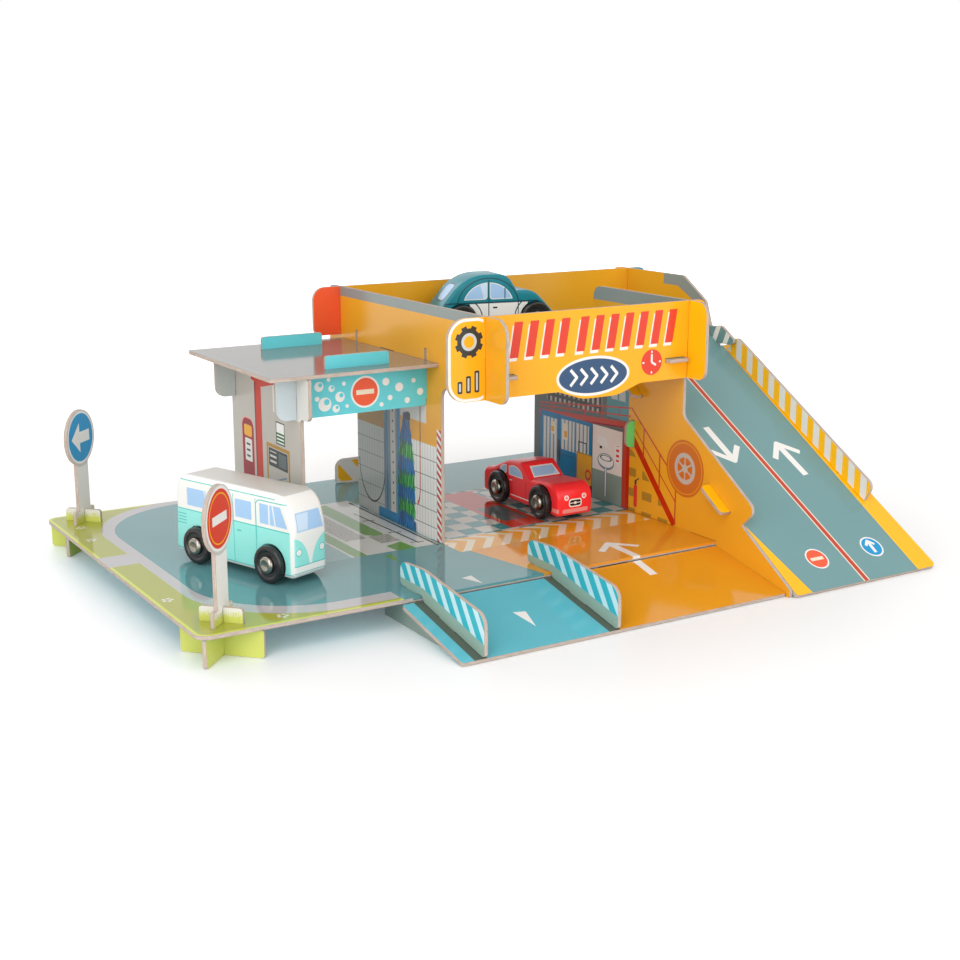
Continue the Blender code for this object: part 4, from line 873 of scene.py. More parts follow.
@dataclass
class WallBoards:
    """The three upright walls with the prints on both of their sides."""

    tile: Point2 = (3.9, 11.6)
    strip: Point2 = (92.6, 98.8)

    def build(self) -> None:
        """Dresses the left, right and outer walls."""
        self.print_left()
        self.print_right()
        self.print_outer()

    def print_left(self) -> None:
        """The wall of the wash bay: tiles, a brush column, hoses and a striped corner, with painted shade over its rear
        part.
        """
        press = standing("left_wall", Ink.GOLD, Ink.GOLD)
        box, stripes = press.box, press.stripes
        press.face = Face.BACK
        press.lay(Ink.BAND_GREY, box(39, 174.6, 260, 182))
        lower = box(93, 18, 217, 86)
        # From 171 mm back, the greyer tiles and the ochre band above them are painted shade.
        press.layers(
            (Ink.WHITE, lower), (Ink.TILE_SHADE, box(171, 18, 217, 86)), (Ink.OCHRE, box(171, 86, 217, 128)),
            (
                Ink.GROUT,
                press.both(
                    box(93, 18, 217, 86),
                    press.either(stripes(self.tile[0], 0.075, 0), stripes(self.tile[1], 0.055, 90)),
                ),
            ),
            (Ink.PAPER, box(113, 100, 150, 127)), (Ink.CHARCOAL, box(118, 122, 150, 123.6), box(90, 100, 200, 130)))
        self.brush(press)
        self.hoses(press)
        edge = box(self.strip[0], 20, self.strip[1], 98.5)
        press.lay(Ink.WHITE, edge)
        press.lay(Ink.BRICK, edge, stripes(4.4, 0.5, -56))
        press.face = Face.FRONT
        press.layers(
            (Ink.ASH, box(93, 18, 217, 80)), (Ink.GROUT, box(93, 18, 217, 80), stripes(11.0, 0.05, 0)),
            (Ink.BLUE, box(93, 78, 217, 81.5)), (Ink.BRICK, edge, stripes(4.6, 0.5, 58)))
        press.finish()

    @staticmethod
    def brush(press: BoardPrint) -> None:
        """A steel column with bolts, and a roller brush in bands of blue and green, darker on its left side with
        painted shade.

        Args:
            press: The board's print.
        """
        box, stripes = press.box, press.stripes
        press.layers(
            (Ink.STEEL_GREY, box(150, 20, 175, 128)), (Ink.BLUE, box(151.5, 20, 155, 128)),
            (Ink.BLUE, box(169, 20, 171.4, 128)), (Ink.ASH, box(157.5, 24, 165, 128)),
            (Ink.CHARCOAL, box(157.5, 24, 165, 124), press.dots(7.5, 0.9)), (Ink.BLUE, box(128, 18, 184, 27, 1.5)))
        x, y, _ = press.wires.parts(press.point)
        fibres = press.wires.noise(press.wires.vector("MULTIPLY", press.point, (1.0, 0.09, 1.0)), 1.3, 3.0, 0.7)
        lean = press.wires.math("MULTIPLY_ADD", press.wires.noise(press.point, 0.16, 1.0), 3.0, -2.6)
        shifted = press.wires.math("ADD", y, press.wires.math("MULTIPLY_ADD", fibres, 13.0, -6.5))
        turned = press.wires.add("ShaderNodeCombineXYZ", {0: press.wires.math("ADD", x, lean), 1: shifted, 2: 0.0})
        plain_point, press.point = press.point, turned
        centre = 140.6
        layers = ((102.5, 21.0, 3.6, 9.4), (82.5, 13.0, 8.0, 11.8), (70.5, 10.5, 10.4, 12.8), (61.0, 12.0, 10.8, 13.2),
                  (50.0, 10.0, 11.3, 13.0), (41.0, 11.5, 10.8, 12.8), (30.5, 10.0, 10.3, 12.3))
        for index, (top, height, upper, lower) in enumerate(layers):
            low = top - height
            corners = [(centre - lower, low), (centre + lower, low), (centre + upper, top), (centre - upper, top)]
            tuft = press.polygon(corners)
            blue = index % 2 == 0
            # The fourth row darkens each tuft from 143 mm on, its side away from the light: painted shade.
            press.layers(
                (Ink.TUFT_BLUE if blue else Ink.TUFT_GREEN, tuft),
                (Ink.TUFT_DEEP if blue else Ink.MOSS_DARK, tuft, stripes(3.1, 0.34, 5 if blue else -7)),
                (Ink.BLUE if blue else Ink.LEAF, tuft, stripes(5.3, 0.14, -9 if blue else 8, 2.0)),
                (Ink.TUFT_DEEP if blue else Ink.MOSS_DARK, tuft, box(143, 10, 160, 110), stripes(2.3, 0.6, 3)),
                (Ink.TUFT_DEEP, tuft, box(130, top - 2.0, 160, top + 0.5), stripes(4.1, 0.6, 0)))
        press.point = plain_point
        press.lay(Ink.CHARCOAL, box(135.5, 98, 142.5, 104, 2))

    @staticmethod
    def hoses(press: BoardPrint) -> None:
        """Two thin hoses that hang in loops.

        Args:
            press: The board's print.
        """
        press.layers(
            (Ink.CHARCOAL, press.disc(193.5, 58, 20.0, 29.6, line=1.0), press.box(173, 20, 216, 58)),
            (Ink.CHARCOAL, press.bar((173.5, 58), (172.3, 98), 1.0)),
            (Ink.CHARCOAL, press.bar((121.4, 116), (121.7, 84), 1.1)),
            (Ink.BRICK, press.bar((121.7, 84), (121.7, 56), 1.0)),
            (Ink.BRICK, press.disc(127, 56, 5.2, 15, line=1.0), press.box(120, 40, 126, 56)))

    def print_right(self) -> None:
        """The workshop's wall: windows, doors, a gallery with a stair and a round badge."""
        press = standing("right_wall", Ink.YELLOW, Ink.GOLD)
        box = press.box
        press.face = Face.BACK
        press.layers(
            (Ink.BAND_GREY, box(39, 171.5, 200, 182)), (Ink.YELLOW, box(-80, 100, 36, 182)),
            (Ink.SLATE, box(101, 20, 227, 132)), (Ink.TEAL_TAB, box(101, 86, 128, 132)))
        self.gallery(press)
        self.ground_floor(press)
        self.stair(press)
        self.badge(press)
        press.face = Face.FRONT
        press.lay(Ink.ASH, box(60, 18, 227, 100))
        press.lay(Ink.GROUT, box(60, 18, 227, 100), press.stripes(12.0, 0.05, 90))
        press.finish()

    @staticmethod
    def gallery(press: BoardPrint) -> None:
        """High windows behind a red gallery and its thin railing.

        Args:
            press: The board's print.
        """
        stripes = press.stripes
        high = press.box(134, 86, 207, 127)
        press.layers(
            (Ink.CHARCOAL, high), (Ink.STONE, high, stripes(6.2, 0.42, 0), stripes(13, 0.8, 90)),
            (Ink.MIST, press.box(105, 100, 124, 124), stripes(9.5, 0.8, 0)),
            (Ink.BRICK, press.polygon([(99, 81.0), (217, 71.4), (217, 77.4), (99, 85.8)])),
            (Ink.CRIMSON, press.polygon([(99, 81.0), (217, 71.4), (217, 72.8), (99, 82.2)])))
        for low, high in ((90.6, 79.6), (96.6, 82.4)):
            press.lay(Ink.BRICK, press.bar((99, low), (217, high), 1.1))
        press.lay(
            Ink.BRICK, press.polygon([(99, 84.0), (217, 76.0), (217, 82.4), (99, 96.6)]), stripes(22.0, 0.06, 0, 9.0),
        )

    @staticmethod
    def ground_floor(press: BoardPrint) -> None:
        """Blue window bays, a shelf of plain boxes and a grey store room.

        Args:
            press: The board's print.
        """
        box, bar, disc, either = press.box, press.bar, press.disc, press.either
        press.lay(Ink.BLUE, box(146, 20, 216, 77))
        bay, door = box(192.5, 24, 212.5, 72.5), box(150, 50, 187, 74)
        press.layers(
            (Ink.PAPER, either(bay, door)), (Ink.STEEL_GREY, either(bay, door), press.stripes(5.0, 0.34, 0)),
            (Ink.CREAM, either(box(178, 58, 184, 71), box(196, 60, 202, 70))),
            (Ink.GOLD, either(box(179, 60, 183, 65), box(197, 62, 201, 66))),
            (Ink.BLUE, either(bar((202.5, 24), (202.5, 73), 1.4), bar((168.5, 50), (168.5, 74), 1.2))),
            (
                Ink.CHARCOAL,
                either(box(153.5, 49, 163.5, 60, line=0.9), disc(190, 48, 2.4, 9.5), box(189, 20, 190.4, 48)),
            ),
            (Ink.NAVY, either(bar((190.2, 20), (190.2, 77), 0.9), box(168, 24, 186, 46, line=0.7))))
        cabinet = box(145, 20, 165.4, 51.5)
        press.layers(
            (Ink.GOLD, cabinet), (Ink.OCHRE, box(145, 20, 165.4, 51.5, line=1.0)),
            (Ink.RED, disc(150.5, 36, 3.0, 3.4, line=1.8)), (Ink.CRIMSON, box(145, 20, 165.4, 28)),
            (Ink.ROOM_PALE, box(108, 20, 145.6, 77)), (Ink.GREY_GREEN, box(108, 20, 145.6, 43)),
            (Ink.CHARCOAL, bar((145.5, 20), (145.5, 77), 0.8)),
            (Ink.STEEL_GREY, either(disc(128, 51, 10.4, 6.2), bar((128, 45), (128, 24), 3.0))),
            (Ink.WHITE, either(disc(128, 51.5, 9.4, 5.0), bar((128, 46), (128, 24), 1.4))),
            (Ink.CHARCOAL, either(disc(128, 53.6, 6.6, 2.0, line=0.5), box(133, 60, 136, 62))),
            (Ink.WHITE, press.polygon([(124, 61), (140, 64), (138, 70), (128, 69)])),
            (Ink.WHITE, box(110.5, 52, 116.5, 67, 0.5)),
            (Ink.RED, box(111.6, 53.5, 115.4, 65.5), press.stripes(4.0, 0.5, 90)))

    @staticmethod
    def stair(press: BoardPrint) -> None:
        """A red post and a sloping stair with a thin handrail, and blocks of ochre below it.

        Args:
            press: The board's print.
        """
        box, bar = press.box, press.bar
        under = press.polygon([(46, 20), (103, 20), (103, 66), (96, 66)])
        press.layers(
            (Ink.OCHRE, under, press.stripes(15.0, 0.42, 90, 3.0), press.stripes(19.0, 0.6, 0, 8.0)),
            (Ink.BRICK, box(99, 20, 107.5, 82)), (Ink.POST_RED, box(99, 20, 103, 82)),
            (Ink.POST_RED, bar((96.5, 76), (45.5, 21.0), 5.6)), (Ink.BRICK, bar((98, 97.4), (44.8, 53.7), 1.3)),
            (Ink.BRICK, bar((98, 86), (44.8, 38), 1.0)))
        for y, low, high in ((82.5, 61, 84.6), (63.5, 43, 69), (44.8, 21, 53.7)):
            press.lay(Ink.BRICK, bar((y, low), (y, high), 1.4))
        press.layers(
            (Ink.RED, box(88.8, 24, 93, 41, 1.8)), (Ink.CHARCOAL, box(89.8, 41, 92, 44.5, 0.5)),
            (Ink.CHARCOAL, bar((87, 46.5), (91.5, 43.5), 1.0)))

    @staticmethod
    def badge(press: BoardPrint) -> None:
        """A round copper badge with a plain wheel on it.

        Args:
            press: The board's print.
        """
        disc = press.disc
        x, y = 35.4, 64.0
        press.layers(
            (Ink.COPPER, disc(x, y, 20.4)), (Ink.AMBER, disc(x, y, 18.2, 18.2, line=0.8)),
            (Ink.STONE, disc(x, y, 9.6, 9.6, line=3.2)), (Ink.STONE, disc(x, y, 3.0)))
        for turn in range(3):
            angle = math.radians(30 + 60 * turn)
            across, up = 9.0 * math.cos(angle), 9.0 * math.sin(angle)
            press.lay(Ink.STONE, press.bar((x - across, y - up), (x + across, y + up), 1.3))

    def print_outer(self) -> None:
        """The far wall: plain inside with a grey stripe along its top, striped at the hook."""
        press = standing("outer_wall", Ink.YELLOW, Ink.GOLD)
        box = press.box
        for _ in press.each_face():
            press.layers(
                (Ink.BAND_GREY, press.polygon([(168, 183), (136, 165), (142, 157), (174, 173)])),
                (Ink.BAND_GREY, box(168, 173, 192, 184)), (Ink.RAMP_ROAD, box(100, 133, 136, 150)),
                (Ink.WHITE, box(100, 133, 136, 150), press.stripes(12.0, 0.4, 24, 2.0)))
        press.face = Face.FRONT
        press.layers(
            (Ink.RAMP_ROAD, box(0, 18, 240, 44)), (Ink.CREAM, box(0, 44, 240, 46.5)),
            (Ink.TEAL_TAB, press.polygon([(120, 60), (222, 60), (222, 118), (150, 118)])),
            (
                Ink.MIST, press.polygon([(126, 64), (218, 64), (218, 114), (152, 114)]),
                press.stripes(15.0, 0.86, 0, 4.0),
            ))
        press.finish()


@dataclass
class RoofBoards:
    """The boards round the upper floor, the floor itself and the ramp that leads to it."""

    ramp_front: float = -77.0
    ramp_degrees: float = 33.0368
    rail_taper: float = 4.2

    def build(self) -> None:
        """Dresses the fascia, the rear wall, the parking floor, the ramp, its rail and its rib."""
        self.print_fascia()
        self.print_rear()
        self.print_floor()
        self.print_ramp()
        self.print_rail()
        rib = standing("ramp_rib", Ink.GREY_GREEN, Ink.GREY_GREEN)
        for _ in rib.each_face():
            rib.lay(Ink.LEAF, rib.either(rib.box(360, 60, 379, 96), rib.box(473, 60, 490, 96)))
        rib.finish()

    def print_fascia(self) -> None:
        """The front band: a row of slanted red blocks, an oval and a round badge, all without words."""
        press = standing("front_fascia", Ink.FASCIA_YELLOW, Ink.GOLD, name="fascia_print")
        bar = press.bar
        press.lay(Ink.WHITE, press.box(184.7, 129.5, 216, 180.2, 12, line=1.8), press.box(180, 125, 209.5, 185))
        self.flap(press)
        for index in range(11):
            left = 229.0 + index * 12.2 + (3.0 if index > 3 else 0.0)
            for ink, across, up in ((Ink.WHITE, -1.3, -2.0), (Ink.RED, 0.0, 0.0)):
                x, low, high = left + across, 153.5 + up + index * 0.05, 176.5 + up
                press.lay(ink, press.polygon([(x, low), (x + 6.6, low), (x + 10.4, high), (x + 3.8, high)]))
        press.lay(Ink.WHITE, press.disc(295, 136.6, 29.6, 13.2))
        press.lay(Ink.NAVY, press.disc(295, 136.6, 27.6, 11.4))
        for index in range(5):
            x = 276.5 + index * 8.2
            press.lay(
                Ink.WHITE,
                press.either(bar((x, 131.2), (x + 5.4, 136.9), 2.1), bar((x, 142.0), (x + 5.4, 136.3), 2.1)),
            )
        press.lay(Ink.RED, press.disc(343.3, 141.6, 8.8))
        hands = [bar((343.3, 141.6), (343.3, 147.0), 1.5), bar((343.3, 141.6), (347.0, 139.4), 1.5)]
        ticks = [
            bar((343.3 + 6.2 * x, 141.6 + 6.2 * y), (343.3 + 7.8 * x, 141.6 + 7.8 * y), 1.1)
            for x, y in ((1, 0), (0, 1), (-1, 0), (0, -1))
        ]
        press.lay(Ink.WHITE, press.either(*hands, *ticks))
        press.face = Face.BACK
        press.lay(Ink.BAND_GREY, press.box(180, 174.6, 400, 182))
        press.finish()

    @staticmethod
    def flap(press: BoardPrint) -> None:
        """The flap at the left: a plain cog above and three gauge bars below.

        Args:
            press: The board's print.
        """
        x, y = 199.0, 166.4
        for turn in range(4):
            angle = math.radians(22.5 + 45 * turn)
            across, up = 10.2 * math.cos(angle), 10.2 * math.sin(angle)
            press.lay(Ink.CHARCOAL, press.bar((x - across, y - up), (x + across, y + up), 4.0))
        press.layers(
            (Ink.CHARCOAL, press.disc(x, y, 8.6)), (Ink.MIST, press.disc(x, y, 5.6)),
            (Ink.FASCIA_YELLOW, press.disc(x, y, 3.8)))
        for index, height in enumerate((8.0, 11.0, 14.0)):
            left = 190.5 + index * 6.2
            press.lay(Ink.CHARCOAL, press.box(left, 134, left + 3.6, 134 + height, 1.0))
            press.lay(Ink.MIST, press.box(left + 1.1, 135.4, left + 2.5, 132.6 + height, 0.4))

    @staticmethod
    def print_rear() -> None:
        """The rear band: plain, with a red end at the left and a teal end at the right."""
        press = standing("rear_wall", Ink.GOLD, Ink.YELLOW)
        for _ in press.each_face():
            press.lay(Ink.ORANGE_RED, press.box(180, 125, 211, 185))
            press.lay(Ink.TEAL_TAB, press.box(477, 125, 500, 185))
        press.face = Face.BACK
        for index in range(12):
            left = 226.0 + index * 20.0
            press.lay(Ink.BRICK, press.polygon([(left, 146), (left + 9, 146), (left + 15, 168), (left + 6, 168)]))
        press.finish()

    @staticmethod
    def print_floor() -> None:
        """The parking floor: painted bays and a landing."""
        press = lying("roof_deck", "roof_floor_print", Ink.RAMP_ROAD, Ink.ASH, Varnish(gloss=0.1, waviness=0.15))
        box = press.box
        bays = box(222, 176, 372, 232)
        press.layers(
            (Ink.WHITE, bays, press.stripes(50.0, 0.045, 0, 3.0)), (Ink.WHITE, box(222, 174.5, 372, 176.5)),
            (Ink.WHITE, box(222, 42, 372, 92), press.stripes(50.0, 0.045, 0, 3.0)),
            (Ink.WHITE, box(222, 91.5, 372, 93.5)))
        press.arrow(Ink.WHITE, (352, 134), (244, 134), 6.0, 20)
        press.lay(Ink.BRICK, box(426.8, 134, 431.6, 200))
        press.arrow(Ink.WHITE, (400, 210), (400, 150), 6.0, 16)
        press.face = Face.BACK
        press.lay(Ink.STONE, press.stripes(24.0, 0.06, 0))
        press.finish()

    def along(self, y: float) -> float:
        """The distance up the ramp's board at a distance back from the deck's front edge."""
        angle = math.radians(self.ramp_degrees)
        return (y - self.ramp_front) / math.cos(angle) + BOARD / 2 * math.tan(angle)

    def print_ramp(self) -> None:
        """Two lanes with a red line between them, yellow borders, arrows and two discs."""
        angle = math.radians(self.ramp_degrees)
        plane = tilted(self.ramp_front, angle)
        press = BoardPrint("roof_ramp", plane, Ink.RAMP_ROAD, Ink.ASH, Varnish(gloss=0.16, waviness=0.2))
        up = self.along
        press.layers(
            (Ink.YELLOW, press.polygon([(360, -5), (391.6, -5), (376.6, 66), (360, 66)])),
            (Ink.YELLOW, press.polygon([(488.3, up(-80)), (530, up(-80)), (530, up(140)), (477.5, up(140))])),
            (Ink.YELLOW, press.box(355, -5, 376.7, 300)))
        for ink, half in ((Ink.CREAM, 2.7), (Ink.BRICK, 1.7)):
            press.lay(ink, press.bar((439.9, 0.0), (422.4, 252.0), 2 * half))
        press.arrow(Ink.WHITE, (406.3, 156), (408.6, 121), 5.4, 18)
        press.arrow(Ink.WHITE, (459.0, 98), (455.4, 131), 5.4, 18)
        x, y = 413.8, up(-56.4)
        press.no_entry(x, y, 8.8)
        x, y = 465.2, up(-55.8)
        press.lay(Ink.WHITE, press.disc(x, y, 8.9))
        press.lay(Ink.SIGN_BLUE, press.disc(x, y, 7.7))
        press.arrow(Ink.WHITE, (x, y - 5.2), (x, y + 5.6), 2.6, 5.6)
        press.finish()

    def print_rail(self) -> None:
        """The rail beside the ramp: yellow with white bars."""
        low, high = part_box("ramp_rail")
        taper = math.radians(self.rail_taper)
        across = (low.x + high.x) / 2
        middle = Vector((across, (low.y + high.y) / 2, 0.0))
        press = BoardPrint("ramp_rail", stood(middle, math.pi / 2 + taper), Ink.YELLOW, Ink.YELLOW, Varnish(gloss=0.25))
        slope = math.tan(math.radians(self.ramp_degrees)) * math.cos(taper)
        x, y, _ = press.wires.parts(press.point)
        seat = (DECK_FRONT + (self.ramp_front * MM) - middle.y) / math.cos(taper) / MM
        level = press.wires.math(
            "SUBTRACT", y, press.wires.math("MULTIPLY", press.wires.math("SUBTRACT", x, seat), slope),
        )
        inside = press.wires.math("GREATER_THAN", level, 4.0)
        for _ in press.each_face():
            press.lay(Ink.RAIL_WHITE, press.stripes(11.5, 0.5, 0, 3.0), inside)
        press.finish()


@dataclass
class EntryBoards:
    """The low ramp in front of the deck, its striped guards and the wedges below it."""

    front: float = -71.0
    rise: float = 17.2
    seam: float = 238.8
    rounds: int = 8

    def build(self) -> None:
        """Dresses the ramp, both guards, both wedges and the rear barrier."""
        angle = math.atan2(self.rise, -self.front)
        for _ in range(self.rounds):
            angle = math.atan2(self.rise - BOARD / math.cos(angle), -self.front)
        plane = tilted(self.front, angle)
        press = BoardPrint("entry_ramp", plane, Ink.LANE_BLUE, Ink.AQUA, Varnish(gloss=0.1, waviness=0.15))
        press.lay(Ink.AMBER, press.box(self.seam, -5, 400, 90))
        press.lay(
            Ink.SEAM,
            press.either(press.box(self.seam - 7.0, -5, self.seam + 1.2, 90), press.box(137.0, -5, 145.6, 90)),
        )
        up = (-22 - self.front) / math.cos(angle)
        press.lay(Ink.WHITE, press.bar((305.0, up + 2.0), (306.4, 90), 6.0))
        press.lay(Ink.WHITE, press.polygon([(188.5, 41.1), (192.8, 21.6), (196.8, 39.4)]))
        press.finish()
        for side in ("left", "right"):
            self.print_guard(side)
            wedge = "ramp_wedge_" + side
            standing(wedge, Ink.GREY_GREEN, Ink.GREY_GREEN).finish()
        self.print_barrier()

    def print_guard(self, side: str) -> None:
        """A guard: slanted pale stripes on aqua above a plain grey-green strip.

        Args:
            side: "left" or "right".
        """
        node = "ramp_guard_" + side
        press = standing(node, Ink.AQUA_DEEP, Ink.AQUA_DEEP, Varnish(gloss=0.22))
        for _ in press.each_face():
            press.lay(Ink.PALE_AQUA, press.stripes(10.4, 0.44, -34))
            press.lay(
                Ink.GUARD_GREY,
                press.polygon([(-90, -40), (40, -40), (40, 25.4), (-2, 25.4), (-74, 10.2), (-90, 6.4)]),
            )
        press.finish()

    @staticmethod
    def print_barrier() -> None:
        """The barrier at the back: slanted yellow and white stripes inside a pale rim."""
        press = standing("rear_barrier", Ink.WHITE, Ink.WHITE)
        for _ in press.each_face():
            press.lay(Ink.YELLOW, press.stripes(19.0, 0.48, 40, 6.0), press.box(227.5, 21.5, 290.5, 38, 5))
        press.finish()


@dataclass
class CanopyBoards:
    """The canopy over the wash bay: its roof, two hanging boards and the pillar with the pumps."""

    disc: Point2 = (164.5, 126.6)

    def build(self) -> None:
        """Dresses the canopy's four boards."""
        varnish = Varnish(gloss=0.1, waviness=0.2, shine=0.42)
        roof = lying("canopy_roof", "canopy_roof_print", Ink.CANOPY_GREY, Ink.STONE, varnish)
        roof.lay(Ink.BAND_GREY, roof.box(94, 99.5, 207, 233, 2, line=0.6))
        roof.finish()
        for side in ("front", "rear"):
            self.print_hanging(side)
        self.print_pillar()

    def print_hanging(self, side: str) -> None:
        """A hanging board: bubbles on aqua, with a pale end and, at the front, a red disc.

        Args:
            side: "front" or "rear".
        """
        node = "canopy_fascia_" + side
        press = standing(node, Ink.AQUA, Ink.AQUA_DEEP, Varnish(gloss=0.2))
        for _ in press.each_face():
            press.lay(Ink.MIST, press.box(98, 110, 125.8, 142))
        press.face = Face.FRONT
        bubbles = (
            (131, 133, 3.2), (135, 121, 4.6), (140, 131, 2.2), (143, 117.5, 2.6), (146, 125, 3.4), (129.5, 125, 1.6),
            (149, 133.5, 1.4), (180, 132, 2.6), (183, 121, 1.8), (190, 127.5, 3.0), (196, 118, 2.0), (201, 131, 1.6),
            (206, 123, 2.4), (176.5, 117, 1.5), (138, 137, 1.3), (151, 118.5, 1.2),
        )
        for x, z, radius in bubbles:
            press.lay(Ink.WHITE, press.disc(x, z, radius))
        for x, z, radius in bubbles[:5]:
            press.lay(Ink.AQUA, press.disc(x + 0.3 * radius, z + 0.3 * radius, 0.45 * radius))
        if side == "front":
            press.no_entry(*self.disc, 10.6)
        else:
            press.lay(Ink.TILE_SHADE, press.box(98, 110, 125.8, 142))
        press.finish()

    @staticmethod
    def print_pillar() -> None:
        """The pillar: a red column with a plain pump on either side and a small panel."""
        press = standing("pump_pillar", Ink.STONE, Ink.STONE, Varnish(gloss=0.25, shine=0.12))
        box = press.box
        for _ in press.each_face():
            press.layers(
                (Ink.PAPER, press.polygon([(92, 112), (150, 112), (150, 129), (140, 142), (92, 142)])),
                (Ink.POST_RED, box(169.5, 18, 181, 130)),
                (Ink.POST_RED, press.polygon([(146, 131), (168, 126), (186, 129), (186, 136), (146, 136)])),
                (Ink.CRIMSON, box(178.8, 18, 181, 128)), (Ink.CRIMSON, box(184, 18, 204.5, 100.5, 7)),
                (Ink.BLUSH, box(184, 18, 204.5, 100.5, 7, line=0.8)), (Ink.GOLD, box(187.5, 87.5, 201, 95.5, 2)),
                (Ink.PAPER, box(187.8, 70, 199.8, 86, 1)),
                (Ink.CHARCOAL, box(191, 72, 197.5, 84), press.stripes(4.2, 0.36, 90)),
                (Ink.CHARCOAL, box(132.5, 91, 146.5, 106.4)), (Ink.WHITE, box(133.4, 99, 145.6, 105.6)),
                (Ink.MOSS_DARK, box(133.4, 91.6, 145.6, 99)),
                (Ink.WHITE, box(133.8, 92, 145.2, 98.6), press.stripes(2.4, 0.42, 90)),
                (Ink.OCHRE, box(125.4, 18, 163, 89.5, 1.0)), (Ink.STONE, box(128, 18, 160.4, 87, 0.6)),
                (Ink.CHARCOAL, box(129, 74, 159.4, 86.4, 0.6)),
                (Ink.ASH, box(147, 76, 157.5, 84.5), press.stripes(3.6, 0.42, 90)),
                (Ink.SLATE, box(131, 75.5, 143.5, 84.8)), (Ink.STEEL_GREY, press.bar((131, 70), (158, 62), 1.2)),
                (Ink.STEEL_GREY, box(134, 36, 155, 58, 2, line=0.8)))
        press.finish()


@dataclass(frozen=True)
class Enamel:
    """A smooth, slightly soft paint on wood."""

    roughness: float = 0.3
    brush: float = 0.12


class VehiclePaint(Press):
    """A vehicle's paint: a print on its sides, one across its ends and one on its top."""

    mid_length = 25.0

    def __init__(self, name: str, placing: Matrix, side: Ink, end: Ink, top: Ink, enamel: Enamel = Enamel()) -> None:
        """Opens the paint.

        Args:
            name: The material's name.
            placing: The vehicle's own axes: x ahead, y left and z up, from the floor below its rear axle.
            side: Ground of the two sides.
            end: Ground of the front and back.
            top: Ground of all that faces up.
            enamel: How the paint shines.
        """
        upended = Matrix.Rotation(math.pi / 2, 4, "X")
        super().__init__(name, placing @ upended, {Face.FRONT: side, Face.BACK: end, Face.TOP: top})
        self.placing, self.enamel = placing, enamel
        self.side_point = self.point
        self.end_point = self.mapped(placing @ Matrix.Rotation(math.pi / 2, 4, "Z") @ upended)
        self.top_point = self.mapped(placing)

    def on_side(self) -> None:
        """Turns to the sides: print x is the distance ahead and print y the height."""
        self.point, self.face = self.side_point, Face.FRONT

    def on_end(self) -> None:
        """Turns to the ends: print x is the distance across and print y the height."""
        self.point, self.face = self.end_point, Face.BACK

    def at_back(self) -> Feed:
        """Marks the vehicle's rear half, so that its tail isn't printed as its nose."""
        return self.wires.math("LESS_THAN", self.wires.parts(self.side_point)[0], self.mid_length)

    def on_top(self) -> None:
        """Turns to what faces up: print x is the distance ahead and print y the distance to the left."""
        self.point, self.face = self.top_point, Face.TOP

    def finish(self, piece: Piece, up_least: float) -> None:
        """Joins the sides, ends and top, and dresses the body.

        Args:
            piece: The vehicle's body.
            up_least: How far a surface has to face up to take the top's print.
        """
        wires = self.wires
        axes = self.placing.to_3x3()
        left = wires.math("ABSOLUTE", wires.vector("DOT_PRODUCT", self.object_normal, tuple(axes.col[1].normalized())))
        beside = wires.math("GREATER_THAN", left, 0.55)
        up = self.facing(axes.col[2].normalized(), up_least)
        ends = wires.mix(up, self.sheets[Face.BACK], self.sheets[Face.TOP])
        colour = wires.mix(beside, ends, self.sheets[Face.FRONT])
        tone = {"Point": self.side_point, "Colour": colour, "Gloss": self.enamel.roughness}
        toned = self.use("print_tone", tone, "Colour").node
        wires.join(*(toned.outputs[key] for key in ("Colour", "Roughness", "Height")), self.enamel.brush, 0.1)
        for key, value in (("Specular IOR Level", 0.3), ("Coat Weight", 0.15), ("Coat Roughness", 0.12)):
            self.shader.inputs[key].default_value = value
        dress(piece, wires.material)


